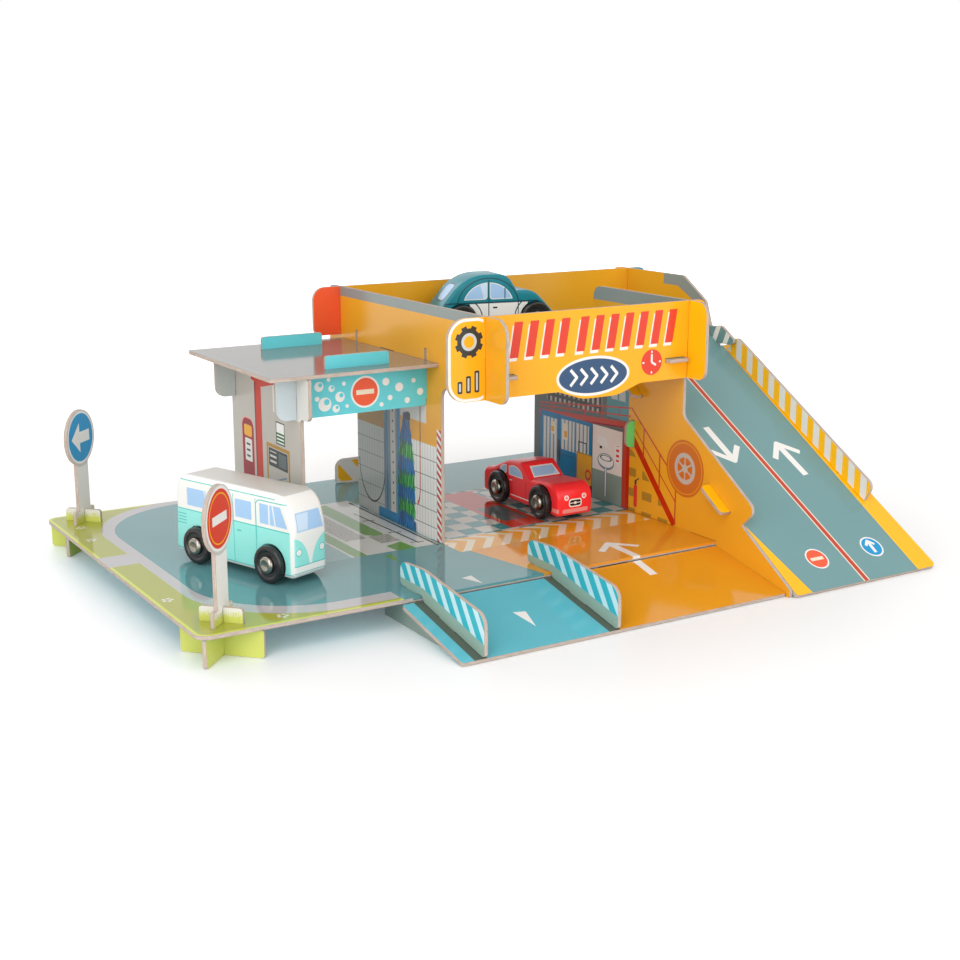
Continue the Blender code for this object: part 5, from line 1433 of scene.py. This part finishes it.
class Modeller:
    """Short calls round Blender's own tools, for one object at a time."""

    @staticmethod
    def clear() -> None:
        """Deselects everything."""
        bpy.ops.object.select_all(action="DESELECT")

    @staticmethod
    def pick(piece: Piece) -> None:
        """Selects one piece alone and makes it active.

        Args:
            piece: The piece.
        """
        Modeller.clear()
        piece.select_set(True)
        bpy.context.view_layer.objects.active = piece

    @staticmethod
    def polygon(name: str, points: Sequence[Vector], filled: bool) -> Piece:
        """A flat ring of points, from a circle whose points are set one by one.

        Args:
            name: The object's name.
            points: The ring's corners in order.
            filled: Whether the ring holds one face.

        Returns:
            The new object, in object mode.
        """
        Modeller.clear()
        bpy.ops.mesh.primitive_circle_add(vertices=len(points), radius=1.0, fill_type="NGON" if filled else "NOTHING")
        made = bpy.context.object
        made.name = made.data.name = name
        for vertex, point in zip(made.data.vertices, points):
            vertex.co = point
        made.data.update()
        return made

    @staticmethod
    def turned(name: str, profile: Sequence[Point2], steps: int) -> Piece:
        """Spins a closed half section about the Z axis.

        Args:
            name: The object's name.
            profile: The section's corners as radius and height, in metres.
            steps: How many steps make the full turn.

        Returns:
            The turned object.
        """
        made = Modeller.polygon(name, [Vector((radius, 0.0, height)) for radius, height in profile], False)
        bpy.ops.object.mode_set(mode="EDIT")
        bpy.ops.mesh.select_all(action="SELECT")
        bpy.ops.mesh.spin(steps=steps, angle=2 * math.pi, center=(0.0, 0.0, 0.0), axis=(0.0, 0.0, 1.0))
        bpy.ops.mesh.select_all(action="SELECT")
        bpy.ops.mesh.remove_doubles(threshold=0.02 * MM)
        bpy.ops.mesh.normals_make_consistent(inside=False)
        bpy.ops.object.mode_set(mode="OBJECT")
        Modeller.smooth(made, 35.0)
        return made

    @staticmethod
    def smooth(piece: Piece, degrees: float) -> None:
        """Shades a piece smooth, apart from edges that are sharper than an angle."""
        Modeller.pick(piece)
        bpy.ops.object.shade_smooth_by_angle(angle=math.radians(degrees))

    @staticmethod
    def apply(piece: Piece, kind: str, **settings: object) -> None:
        """Adds a modifier with these settings and applies it.

        Args:
            piece: The piece.
            kind: The modifier's type.
            **settings: Its properties.
        """
        Modeller.pick(piece)
        modifier = piece.modifiers.new(kind.lower(), kind)
        for key, value in settings.items():
            setattr(modifier, key, value)
        bpy.ops.object.modifier_apply(modifier=modifier.name)

    @staticmethod
    def copied(pattern: Piece, name: str) -> Piece:
        """Copies a finished pattern piece; the copy has a mesh of its own.

        Args:
            pattern: The piece to copy.
            name: The copy's name.

        Returns:
            The copy.
        """
        Modeller.pick(pattern)
        bpy.ops.object.duplicate(linked=False)
        made = bpy.context.object
        made.name = made.data.name = name
        return made

    @staticmethod
    def settle(piece: Piece, place: Matrix, body: str, slot: str, node: str) -> None:
        """Puts a finished piece's place into its mesh, ties it to its body and hides the CAD node it replaces.

        Args:
            piece: The piece.
            place: Its place in the world.
            body: The body it moves with.
            slot: The material slot it stands for; not used.
            node: The CAD node it replaces.
        """
        piece.data.transform(place)
        piece.data.update()
        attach(piece, body)
        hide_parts(node)


def rounded(corners: Sequence[Point3], degrees: float = 5.0) -> list[Point2]:
    """Turns corners (x, y, radius) into outline points with fine arcs.

    Args:
        corners: The outline's corners in order.
        degrees: The most that one arc step turns.

    Returns:
        The outline's points.
    """
    points: list[Point2] = []
    for index, (x, y, radius) in enumerate(corners):
        here = Vector((x, y))
        last = Vector(corners[index - 1][:2]) - here
        following = Vector(corners[(index + 1) % len(corners)][:2]) - here
        turn = last.angle(following)
        reach = min(radius / math.tan(turn / 2), 0.48 * last.length, 0.48 * following.length)
        radius = reach * math.tan(turn / 2)
        start = here + last.normalized() * reach
        middle = here + (last.normalized() + following.normalized()).normalized() * (radius / math.sin(turn / 2))
        sweep = math.pi - turn
        steps = max(2, math.ceil(sweep / math.radians(degrees)))
        side = 1.0 if last.x * following.y - last.y * following.x < 0 else -1.0
        arm = start - middle
        for number in range(steps + 1):
            spot = middle + Matrix.Rotation(side * sweep * number / steps, 2) @ arm
            points.append((spot.x, spot.y))
    return points


@dataclass
class RunningGear:
    """The wheels and axles that all three vehicles share."""

    radius: float = 12.1
    width: float = 6.0
    stand_out: float = 4.1
    body_width: float = 30.0
    axle: float = 2.0
    cap: float = 5.7
    cap_height: float = 2.4
    dish: float = 8.6
    dish_depth: float = 0.9
    gap: float = 0.3
    steps: int = 72

    @property
    def wheel_middle(self) -> float:
        """How far a wheel's middle is from the vehicle's centre plane."""
        return self.body_width / 2 + self.stand_out - self.width / 2

    def wheel_section(self) -> list[Point2]:
        """The wheel's closed half section in metres, outer side up.

        Returns:
            Its corners as radius and height.
        """
        half = self.width / 2
        bore = self.axle + self.gap
        floor = half - self.dish_depth
        corners = [
            (bore, floor, 0.05), (self.dish - 0.5, floor, 0.4), (self.dish + 0.35, half - 0.12, 0.35),
            (self.dish + 1.0, half, 0.5), (self.radius, half, 1.5), (self.radius, -half, 1.5),
            (self.dish, -half, 0.4), (self.dish - 0.8, -half + 0.6, 0.4), (bore, -half + 0.6, 0.05),
        ]
        return [(radius * MM, height * MM) for radius, height in rounded(corners, 14.0)]

    def axle_section(self) -> list[Point2]:
        """The pin's closed half section in metres, with a domed and rimmed cap at each end.

        Returns:
            Its corners as radius and height.
        """
        seat = self.wheel_middle + self.width / 2 - self.dish_depth + self.gap
        crown = (
            (0.0, 1.75), (0.14, 1.77), (0.28, 1.86), (0.40, 2.05), (0.50, 2.28), (0.58, 2.38), (0.66, 2.4), (0.75, 2.3),
            (0.84, 2.05), (0.91, 1.68), (0.96, 1.2), (0.99, 0.7), (1.0, 0.3), (1.0, 0.0),
        )
        upper = [(share * self.cap, seat + height * self.cap_height / 2.4) for share, height in crown]
        upper.append((self.axle, seat))
        lower = [(radius, -height) for radius, height in reversed(upper)]
        return [(radius * MM, height * MM) for radius, height in upper + lower]


@dataclass(frozen=True)
class WheelLacquer:
    """Black lacquer on turned wood."""

    roughness: float = 0.24

    def material(self) -> bpy.types.Material:
        """The lacquer, with a faint cloudy tone and a fine grain.

        Returns:
            The material.
        """
        wires = Surface("wheel_lacquer")
        point = wires.add("ShaderNodeTexCoord", {}, "Object")
        cloud = wires.noise(point, 90.0, 3.0)
        colour = wires.mix(cloud, (0.008, 0.008, 0.009, 1.0), (0.022, 0.021, 0.022, 1.0))
        roughness = wires.math("MULTIPLY_ADD", cloud, 0.16, self.roughness - 0.08)
        wires.join(colour, roughness, wires.noise(point, 900.0, 2.0), 0.1, 0.1)
        return wires.material


@dataclass(frozen=True)
class CapSteel:
    """Bright nickel-plated steel of the domed caps."""

    roughness: float = 0.2

    def material(self) -> bpy.types.Material:
        """The plated steel, with faint smears.

        Returns:
            The material.
        """
        wires = Surface("cap_steel")
        inputs = wires.shader.inputs
        smear = wires.noise(wires.add("ShaderNodeTexCoord", {}, "Object"), 260.0, 3.0)
        wires.feed(inputs["Base Color"], wires.mix(smear, (0.24, 0.215, 0.18, 1.0), (0.46, 0.43, 0.38, 1.0)))
        wires.feed(inputs["Roughness"], wires.math("MULTIPLY_ADD", smear, 0.14, self.roughness - 0.05))
        inputs["Metallic"].default_value = 1.0
        return wires.material


@dataclass
class Vehicle:
    """A wooden vehicle: its body with the wheel pockets, its axles and its wheels."""

    name: str
    slot: str
    rear_axle: Point2
    floor: float
    heading: float
    wheelbase: float
    profile: tuple[Point3, ...]
    edge: float = 1.5
    gear: RunningGear = field(default_factory=RunningGear)

    @property
    def placing(self) -> Matrix:
        """The vehicle's own axes in the world.

        Returns:
            Its x ahead, y left and z up, in metres, from the floor below its rear axle.
        """
        left, front = self.rear_axle
        spot = (DECK_LEFT + left * MM, DECK_FRONT + front * MM, (self.floor + self.gear.gap) * MM)
        return Matrix.Translation(spot) @ Matrix.Rotation(math.radians(self.heading), 4, "Z")

    def build(self, tyre: Piece, pin: Piece) -> None:
        """Models and paints the body, and adds both pins and all four wheels as copies.

        Args:
            tyre: The finished pattern of a wheel.
            pin: The finished pattern of a pin with its two caps.
        """
        body = self.make_body()
        self.paint(body)
        Modeller.settle(body, self.placing, self.name, self.slot, self.name + "_body")
        LOG.info("modelled %s", body.name)
        gear = self.gear
        for end, ahead in (("rear", 0.0), ("front", self.wheelbase)):
            riding = f"{self.name}_{end}_wheels"
            hub = self.placing @ Matrix.Translation(
                (ahead * MM, 0.0, gear.radius * MM),
            ) @ Matrix.Rotation(math.pi / 2, 4, "X")
            axle = Modeller.copied(pin, f"{self.name}_pin_{end}")
            Modeller.settle(axle, hub, riding, "axle_steel", f"{self.name}_axle_{end}")
            for side, sign in (("left", -1.0), ("right", 1.0)):
                wheel = Modeller.copied(tyre, f"{self.name}_tyre_{end}_{side}")
                out = Matrix.Translation((0.0, 0.0, sign * gear.wheel_middle * MM))
                flip = Matrix.Rotation(math.pi, 4, "X") if sign < 0 else Matrix.Identity(4)
                Modeller.settle(wheel, hub @ out @ flip, riding, "wheel_black", f"{self.name}_wheel_{end}_{side}")
                LOG.info("modelled %s", wheel.name)

    def make_body(self) -> Piece:
        """The body: its side outline pulled out to its width, softened, and cut for the wheels.

        Returns:
            The body, with its place still to come.
        """
        gear = self.gear
        half = gear.body_width / 2 * MM
        outline = [Vector((x * MM, -half, z * MM)) for x, z in rounded(self.profile)]
        body = Modeller.polygon(self.name + "_shell", outline, True)
        bpy.ops.object.mode_set(mode="EDIT")
        bpy.ops.mesh.select_all(action="SELECT")
        bpy.ops.mesh.extrude_region_move(TRANSFORM_OT_translate={"value": (0.0, 2 * half, 0.0)})
        bpy.ops.mesh.select_all(action="SELECT")
        bpy.ops.mesh.normals_make_consistent(inside=False)
        bpy.ops.object.mode_set(mode="OBJECT")
        Modeller.apply(
            body, "BEVEL", width=self.edge * MM, segments=4, limit_method="ANGLE", angle_limit=math.radians(60.0),
        )
        pocket = gear.wheel_middle - gear.width / 2 - 0.5
        for ahead in (0.0, self.wheelbase):
            section = rounded((
                (0.0, 24.0, 0.0), (gear.radius + 0.8, 24.0, 0.1), (gear.radius + 0.8, pocket, 0.1), (
                    gear.axle + gear.gap, pocket, 0.1,
                ),
                (
                    gear.axle + gear.gap, -pocket, 0.1,
                ), (gear.radius + 0.8, -pocket, 0.1), (gear.radius + 0.8, -24.0, 0.1), (0.0, -24.0, 0.0),
            ), 60.0)
            cutter = Modeller.turned("wheel_cutter", [(max(x, 0.0) * MM, z * MM) for x, z in section], gear.steps)
            cutter.data.transform(
                Matrix.Translation((ahead * MM, 0.0, gear.radius * MM)) @ Matrix.Rotation(math.pi / 2, 4, "X"),
            )
            Modeller.apply(body, "BOOLEAN", operation="DIFFERENCE", solver="EXACT", object=cutter)
            bpy.data.objects.remove(cutter, do_unlink=True)
        Modeller.smooth(body, 32.0)
        return body

    def paint(self, body: Piece) -> None:
        """Paints the body; each kind of vehicle has its own."""
        raise NotImplementedError


class Van(Vehicle):
    """The tall two-tone van."""

    def paint(self, body: Piece) -> None:
        """Mint below white, blue windows with painted reflections, fine door lines, a soft white nose and a greyer top
        that is painted shade.

        Args:
            body: The finished body.
        """
        # The top's greyer white stands for shade on the roof: painted shade.
        press = VehiclePaint("van_paint", self.placing, Ink.WHITE, Ink.WHITE, Ink.WARM_ROOF)
        box = press.box
        press.on_side()
        press.lay(Ink.MINT, box(-40, 0, 84.2, 34.4))
        press.lay(Ink.MINT_LINE, press.either(box(-40, 33.9, 84, 34.6), box(-17, 53.6, 72, 54.2)))
        # Each side window gets a thin pale diagonal streak: a painted reflection.
        for low, high in ((-11, 8.5), (12.5, 31), (35, 51)):
            press.layers(
                (Ink.GLASS, box(low, 36.8, high, 49.6, 1.2)), (Ink.WHITE, box(low, 36.8, high, 49.6, 1.2, line=1.0)),
                (
                    Ink.GLASS_PALE,
                    press.both(box(low + 1, 37.6, high - 1, 48.8, 0.8), press.stripes(60, 0.08, 24, 14 + low)),
                ))
        press.layers(
            (Ink.GLASS, press.polygon([(58, 36.8), (82.5, 36.8), (76.5, 49.6), (58, 49.6)])),
            (Ink.WHITE, press.bar((66.5, 36), (66.5, 50), 1.2)), (Ink.WHITE, press.bar((72, 36), (69.5, 50), 1.0)))
        for x in (33.4, 54.0):
            press.lay(Ink.MINT_LINE, box(x, 7, x + 0.6, 52))
        press.lay(Ink.MINT_LINE, box(54.6, 20, 85, 51.6, 4, line=0.7), box(53, 26, 84, 53))
        for index in range(4):
            height = 24.2 + 2.1 * index
            press.lay(Ink.MINT_LINE, box(-21, height, -12, height + 0.7))
        press.layers(
            (Ink.MINT_LINE, box(36.6, 28.2, 40.6, 29.2, 0.4)), (Ink.WHITE, box(-40, 0, 90, 7.0)),
            (Ink.MINT_LINE, box(-40, 7.0, 90, 7.5)))
        self.paint_ends(press)
        press.finish(body, 0.9)

    @staticmethod
    def paint_ends(press: VehiclePaint) -> None:
        """The nose: a windscreen with a painted reflection on its left part, a white shield between mint cheeks, lamps
        and a bumper.

        Args:
            press: The van's paint.
        """
        box, disc, either = press.box, press.disc, press.either
        press.on_end()
        cheeks = either(disc(-15.2, 9.5, 14.4, 21.5), disc(15.2, 9.5, 14.4, 21.5))
        press.layers(
            (Ink.MINT, cheeks, box(-20, 8, 20, 34)),
            (Ink.GLASS, press.polygon([(-11.2, 34.4), (11.2, 34.4), (10.2, 46.0), (-10.2, 46.0)])),
            (Ink.GLASS_PALE, press.polygon([(-10.2, 35.2), (-2.2, 35.2), (0.6, 45.2), (-9.4, 45.2)])))
        for side in (-1, 1):
            press.lay(Ink.WHITE, disc(9.9 * side, 21.6, 2.3))
            press.lay(Ink.MINT_LINE, disc(9.9 * side, 21.6, 2.3, 2.3, line=0.5))
        press.lay(Ink.WHITE, box(-20, 0, 20, 12.6))
        tail = press.at_back()
        # The rear window's paler left part is a painted reflection.
        press.layers(
            (Ink.WHITE, tail), (Ink.MINT, tail, box(-20, 7.5, 20, 34.4)),
            (Ink.GLASS, tail, box(-10.5, 38, 10.5, 48.5, 2)), (Ink.GLASS_PALE, tail, box(-9.5, 39, -2, 47.5, 1.2)),
            (Ink.MINT_LINE, tail, either(box(-9.5, 15, 9.5, 31, 2, line=0.7), box(-2, 27.4, 2, 28.4, 0.4))),
            (Ink.RED, tail, either(disc(-13, 24, 1.9), disc(13, 24, 1.9))),
            (Ink.MINT_LINE, either(box(-20, 12.4, 20, 13.0), box(-20, 8.0, 20, 8.5))))


class Coupe(Vehicle):
    """The small red coupe."""

    def paint(self, body: Piece) -> None:
        """Red with pale blue windows, a white sill line, round lamps and a dark grille.

        Args:
            body: The finished body.
        """
        press = VehiclePaint("coupe_paint", self.placing, Ink.CAR_RED, Ink.CAR_RED, Ink.CAR_RED)
        box, disc, either, both = press.box, press.disc, press.either, press.both
        press.on_side()
        front_pane = both(disc(18.8, 23.4, 10.8, 7.4), box(12.0, 24.0, 31, 33, 1.0))
        rear_pane = both(disc(7.4, 23.4, 8.4, 6.2), box(-6, 24.4, 7.6, 31, 1.0))
        press.layers(
            (Ink.WHITE, both(disc(18.8, 23.4, 11.4, 8.0), box(11.4, 23.4, 33, 34, 1.4))),
            (Ink.WHITE, both(disc(7.4, 23.4, 9.0, 6.8), box(-7, 23.8, 8.2, 32, 1.4))),
            (Ink.GLASS, either(front_pane, rear_pane)),
            (Ink.RED_LINE, either(press.bar((9.0, 8), (9.0, 32), 0.6), press.bar((34.6, 9), (34.6, 22), 0.6))),
            (Ink.WHITE, box(14, 8.4, 42, 9.2)), (Ink.WHITE, box(12.4, 19.4, 16, 20.2, 0.3)),
            (Ink.BLUSH, box(69, 7.4, 80, 10.2, 0.6)))
        press.on_end()
        press.layers(
            (Ink.BLUSH, box(-11, 6.8, 11, 9.8, 1)), (Ink.WHITE, box(-5.6, 10.9, 5.6, 16.9, 2.2)),
            (Ink.BLACK, box(-4.7, 11.8, 4.7, 16.0, 1.6)),
            (
                Ink.WHITE,
                either(box(-4.7, 13.6, -1.2, 14.2), box(1.2, 13.6, 4.7, 14.2), box(-1.2, 12.9, 1.2, 14.9, 0.8)),
            ))
        for side in (-1, 1):
            press.lay(Ink.WHITE, disc(7.6 * side, 18.2, 2.0))
            press.lay(Ink.BLUSH, disc(7.6 * side, 18.2, 1.2))
        tail = press.at_back()
        press.layers(
            (Ink.CAR_RED, tail, box(-14, 10, 14, 40)), (Ink.RED_LINE, tail, box(-9.5, 11.8, 9.5, 21.5, 2, line=0.6)),
            (Ink.AMBER, tail, either(disc(-11.4, 15.4, 1.6), disc(11.4, 15.4, 1.6))))
        press.on_top()
        screen = press.polygon([(39.2, -10.4), (39.2, 10.4), (32.6, 9.0), (32.6, -9.0)])
        # The windscreen's pale diagonal stripes are painted reflections.
        press.layers(
            (Ink.WHITE, press.polygon([(40.2, -11.5), (40.2, 11.5), (31.7, 9.9), (31.7, -9.9)])), (Ink.GLASS, screen),
            (Ink.GLASS_PALE, screen, press.stripes(16, 0.2, 35, 3)), (Ink.WHITE, box(-12.5, -10.5, 2.5, 10.5, 2)),
            (Ink.GLASS, box(-11.7, -9.7, 1.7, 9.7, 1.6)))
        press.finish(body, 0.3)


class Saloon(Vehicle):
    """The round-backed teal saloon."""

    def paint(self, body: Piece) -> None:
        """Teal with white doors, dark outlines and pale blue windows.

        Args:
            body: The finished body.
        """
        press = VehiclePaint("saloon_paint", self.placing, Ink.CAR_TEAL, Ink.CAR_TEAL, Ink.CAR_TEAL)
        box, disc, either = press.box, press.disc, press.either
        press.on_side()
        panel = press.polygon([(6.5, 24.5), (14.5, 6.5), (45.5, 6.5), (53.5, 24.5)])
        press.layers(
            (Ink.TEAL_LINE, press.polygon([(4.6, 25.5), (13.4, 5.5), (46.6, 5.5), (55.4, 25.5)])), (Ink.WHITE, panel),
            (Ink.TEAL_LINE, box(-24, 24.7, 62, 25.7)))
        arch = disc(21.6, 22.0, 19.8, 17.4)
        rim = disc(21.6, 22.0, 20.4, 18.0)
        lights = press.both(arch, either(box(2, 28.0, 20.2, 48, 2.0), box(23.2, 28.0, 41, 48, 2.0)))
        edges = press.both(rim, either(box(0, 27.4, 20.8, 48, 2.4), box(22.6, 27.4, 43, 48, 2.4)))
        # The side windows' pale diagonal stripes are painted reflections.
        press.layers(
            (Ink.WHITE, edges), (Ink.GLASS, lights), (Ink.GLASS_PALE, lights, press.stripes(22.0, 0.28, 14, 6.0)),
            (Ink.TEAL_LINE, disc(21.5, 22.0, 24.6, 21.2, line=0.8), box(-4, 25.7, 48, 48)),
            (Ink.TEAL_LINE, press.bar((34.8, 27.6), (34.8, 35.6), 0.8)),
            (Ink.TEAL_LINE, either(press.bar((21.9, 6.5), (21.9, 42), 0.8), press.bar((45.6, 8), (45.6, 27), 0.7))),
            (Ink.BLACK, box(25.2, 20.6, 28.8, 21.8, 0.5)))
        for ahead in (0.0, self.wheelbase):
            press.lay(Ink.TEAL_LINE, disc(ahead, 12.1, 17.0, 17.0, line=0.9), box(-30, 4, 90, 24.7))
        press.on_end()
        press.layers(
            (Ink.WHITE, either(disc(-10, 17, 2.4), disc(10, 17, 2.4))),
            (Ink.RED, press.at_back(), either(disc(-10, 17, 2.4), disc(10, 17, 2.4))),
            (Ink.ASH, box(-13, 7, 13, 10, 1)))
        press.on_top()
        press.layers(
            (Ink.TEAL_LINE, box(38.6, -11.6, 49.2, 11.6, 3)), (Ink.GLASS, box(39.4, -10.8, 48.4, 10.8, 2.4)),
            (Ink.TEAL_LINE, box(-12.4, -7.6, -0.6, 7.6, 4)), (Ink.GLASS, box(-11.6, -6.8, -1.4, 6.8, 3.4)),
            (Ink.TEAL_LINE, box(56, -0.4, 76, 0.4)))
        press.finish(body, 0.3)


def make_vehicles() -> None:
    """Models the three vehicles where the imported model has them."""
    gear = RunningGear()
    tyre = Modeller.turned("tyre_pattern", gear.wheel_section(), gear.steps)
    dress(tyre, WheelLacquer().material())
    pin = Modeller.turned("pin_pattern", gear.axle_section(), gear.steps)
    dress(pin, CapSteel().material())
    Van(
        "van", "mint_paint", (68.6, 141.3), 20.0, -70.6, 67.2,
        ((-24.6, 4.5, 4.8), (86.8, 4.5, 4.8), (87.2, 36.0, 30.0), (81.0, 57.3, 15.0), (-21.5, 57.3, 11.0)), edge=3.8,
    ).build(tyre, pin)
    Coupe(
        "coupe", "red_paint", (321.5, 168.7), 20.0, -90.0, 55.5,
        ((-24.5, 4.5, 3.4), (76.2, 4.5, 3.4), (76.6, 27.9, 12.0), (41.0, 25.7, 4.0), (28.0, 35.9, 7.0),
         (8.5, 33.8, 25.0), (-13.0, 24.6, 20.0), (-24.7, 22.6, 7.0)), edge=2.4,
    ).build(tyre, pin)
    Saloon(
        "saloon", "teal_paint", (290.0, 208.2), 143.0, -10.7, 59.7,
        ((-22.5, 4.5, 3.4), (76.0, 4.5, 3.4), (76.0, 15.0, 12.0), (58.5, 33.2, 18.0), (44.8, 33.2, 2.0),
         (37.0, 45.8, 14.0), (4.0, 45.8, 34.0), (-22.5, 14.0, 12.0)), edge=2.4,
    ).build(tyre, pin)
    for pattern in (tyre, pin):
        bpy.data.objects.remove(pattern, do_unlink=True)


@dataclass
class Studio:
    """The pale floor, the soft lights and the camera."""

    eye: Point3 = (-0.53306, -0.86611, 0.30273)
    yaw: float = 31.60
    pitch: float = 13.65
    lens: float = 56.055
    sky: float = 0.62

    def build(self) -> None:
        """Makes the floor, the world, the lamps and the camera."""
        self.make_floor()
        self.make_world()
        self.make_lamp("key_light", (-0.9, -0.9, 1.5), 0.9, 7.0)
        self.make_lamp("left_light", (-1.5, -1.0, 0.55), 1.1, 10.5)
        self.make_lamp("front_light", (-0.2, -1.7, 0.45), 1.0, 5.0)
        self.make_lamp("fill_light", (0.9, -1.5, 0.9), 1.2, 4.0)
        self.make_lamp("back_light", (-0.3, 1.4, 1.2), 1.2, 6.0)
        self.make_camera()

    def make_floor(self) -> None:
        """A wide white floor with a faint sheen."""
        Modeller.clear()
        bpy.ops.mesh.primitive_plane_add(size=12.0, location=(0.0, 0.0, -0.0002))
        floor = bpy.context.object
        floor.name = "studio_floor"
        wires = Surface("floor_white")
        inputs = wires.shader.inputs
        point = wires.add("ShaderNodeTexCoord", {}, "Object")
        inputs["Base Color"].default_value = (0.90, 0.90, 0.90, 1.0)
        wires.feed(inputs["Roughness"], wires.math("MULTIPLY_ADD", wires.noise(point, 3.0), 0.05, 0.42))
        path = wires.tree.nodes.new("ShaderNodeLightPath")
        seen = wires.math("MAXIMUM", path.outputs["Is Camera Ray"], path.outputs["Is Glossy Ray"])
        away = wires.math("MULTIPLY_ADD", wires.vector("LENGTH", point), 0.5, -0.12, clamp=True)
        inputs["Emission Color"].default_value = (1.0, 1.0, 1.0, 1.0)
        wires.feed(inputs["Emission Strength"], wires.math("MULTIPLY", seen, wires.math("ADD", away, 0.10)))
        dress(floor, wires.material)

    def make_world(self) -> None:
        """White behind and in reflections, softer as light."""
        world = bpy.data.worlds.new("studio_world")
        bpy.context.scene.world = world
        world.use_nodes = True
        wires = Wires(world.node_tree)
        path = world.node_tree.nodes.new("ShaderNodeLightPath")
        seen = wires.math("MAXIMUM", path.outputs["Is Camera Ray"], path.outputs["Is Glossy Ray"])
        seen = wires.math("MAXIMUM", seen, path.outputs["Is Transmission Ray"])
        background = world.node_tree.nodes["Background"]
        background.inputs["Color"].default_value = (1.0, 1.0, 1.0, 1.0)
        wires.feed(background.inputs["Strength"], wires.blend(seen, self.sky, 1.0))

    @staticmethod
    def make_lamp(name: str, place: Point3, size: float, power: float) -> None:
        """A soft square lamp that points at the object's middle.

        Args:
            name: The lamp's name.
            place: Where it is, in metres.
            size: The square's side.
            power: Its power in watts.
        """
        data = bpy.data.lights.new(name, "AREA")
        data.size, data.energy = size, power
        lamp = bpy.data.objects.new(name, data)
        bpy.context.scene.collection.objects.link(lamp)
        lamp.location = place
        lamp.rotation_euler = (Vector((0.0, 0.0, 0.06)) - Vector(place)).to_track_quat("-Z", "Y").to_euler()

    def make_camera(self) -> None:
        """The camera at the photograph's view."""
        data = bpy.data.cameras.new("view_camera")
        data.lens, data.sensor_width = self.lens, 36.0
        camera = bpy.data.objects.new("view_camera", data)
        bpy.context.scene.collection.objects.link(camera)
        camera.location = self.eye
        camera.rotation_euler = (math.pi / 2 - math.radians(self.pitch), 0.0, -math.radians(self.yaw))
        bpy.context.scene.camera = camera


def main() -> None:
    """Builds the looks in order."""
    logging.basicConfig(level=logging.INFO, format="%(name)s: %(message)s")
    bpy.context.scene.view_settings.view_transform = "Standard"
    for boards in (DeckBoards(), WallBoards(), RoofBoards(), EntryBoards(), CanopyBoards()):
        boards.build()
    make_vehicles()
    Studio().build()


if __name__ == "__main__":
    main()
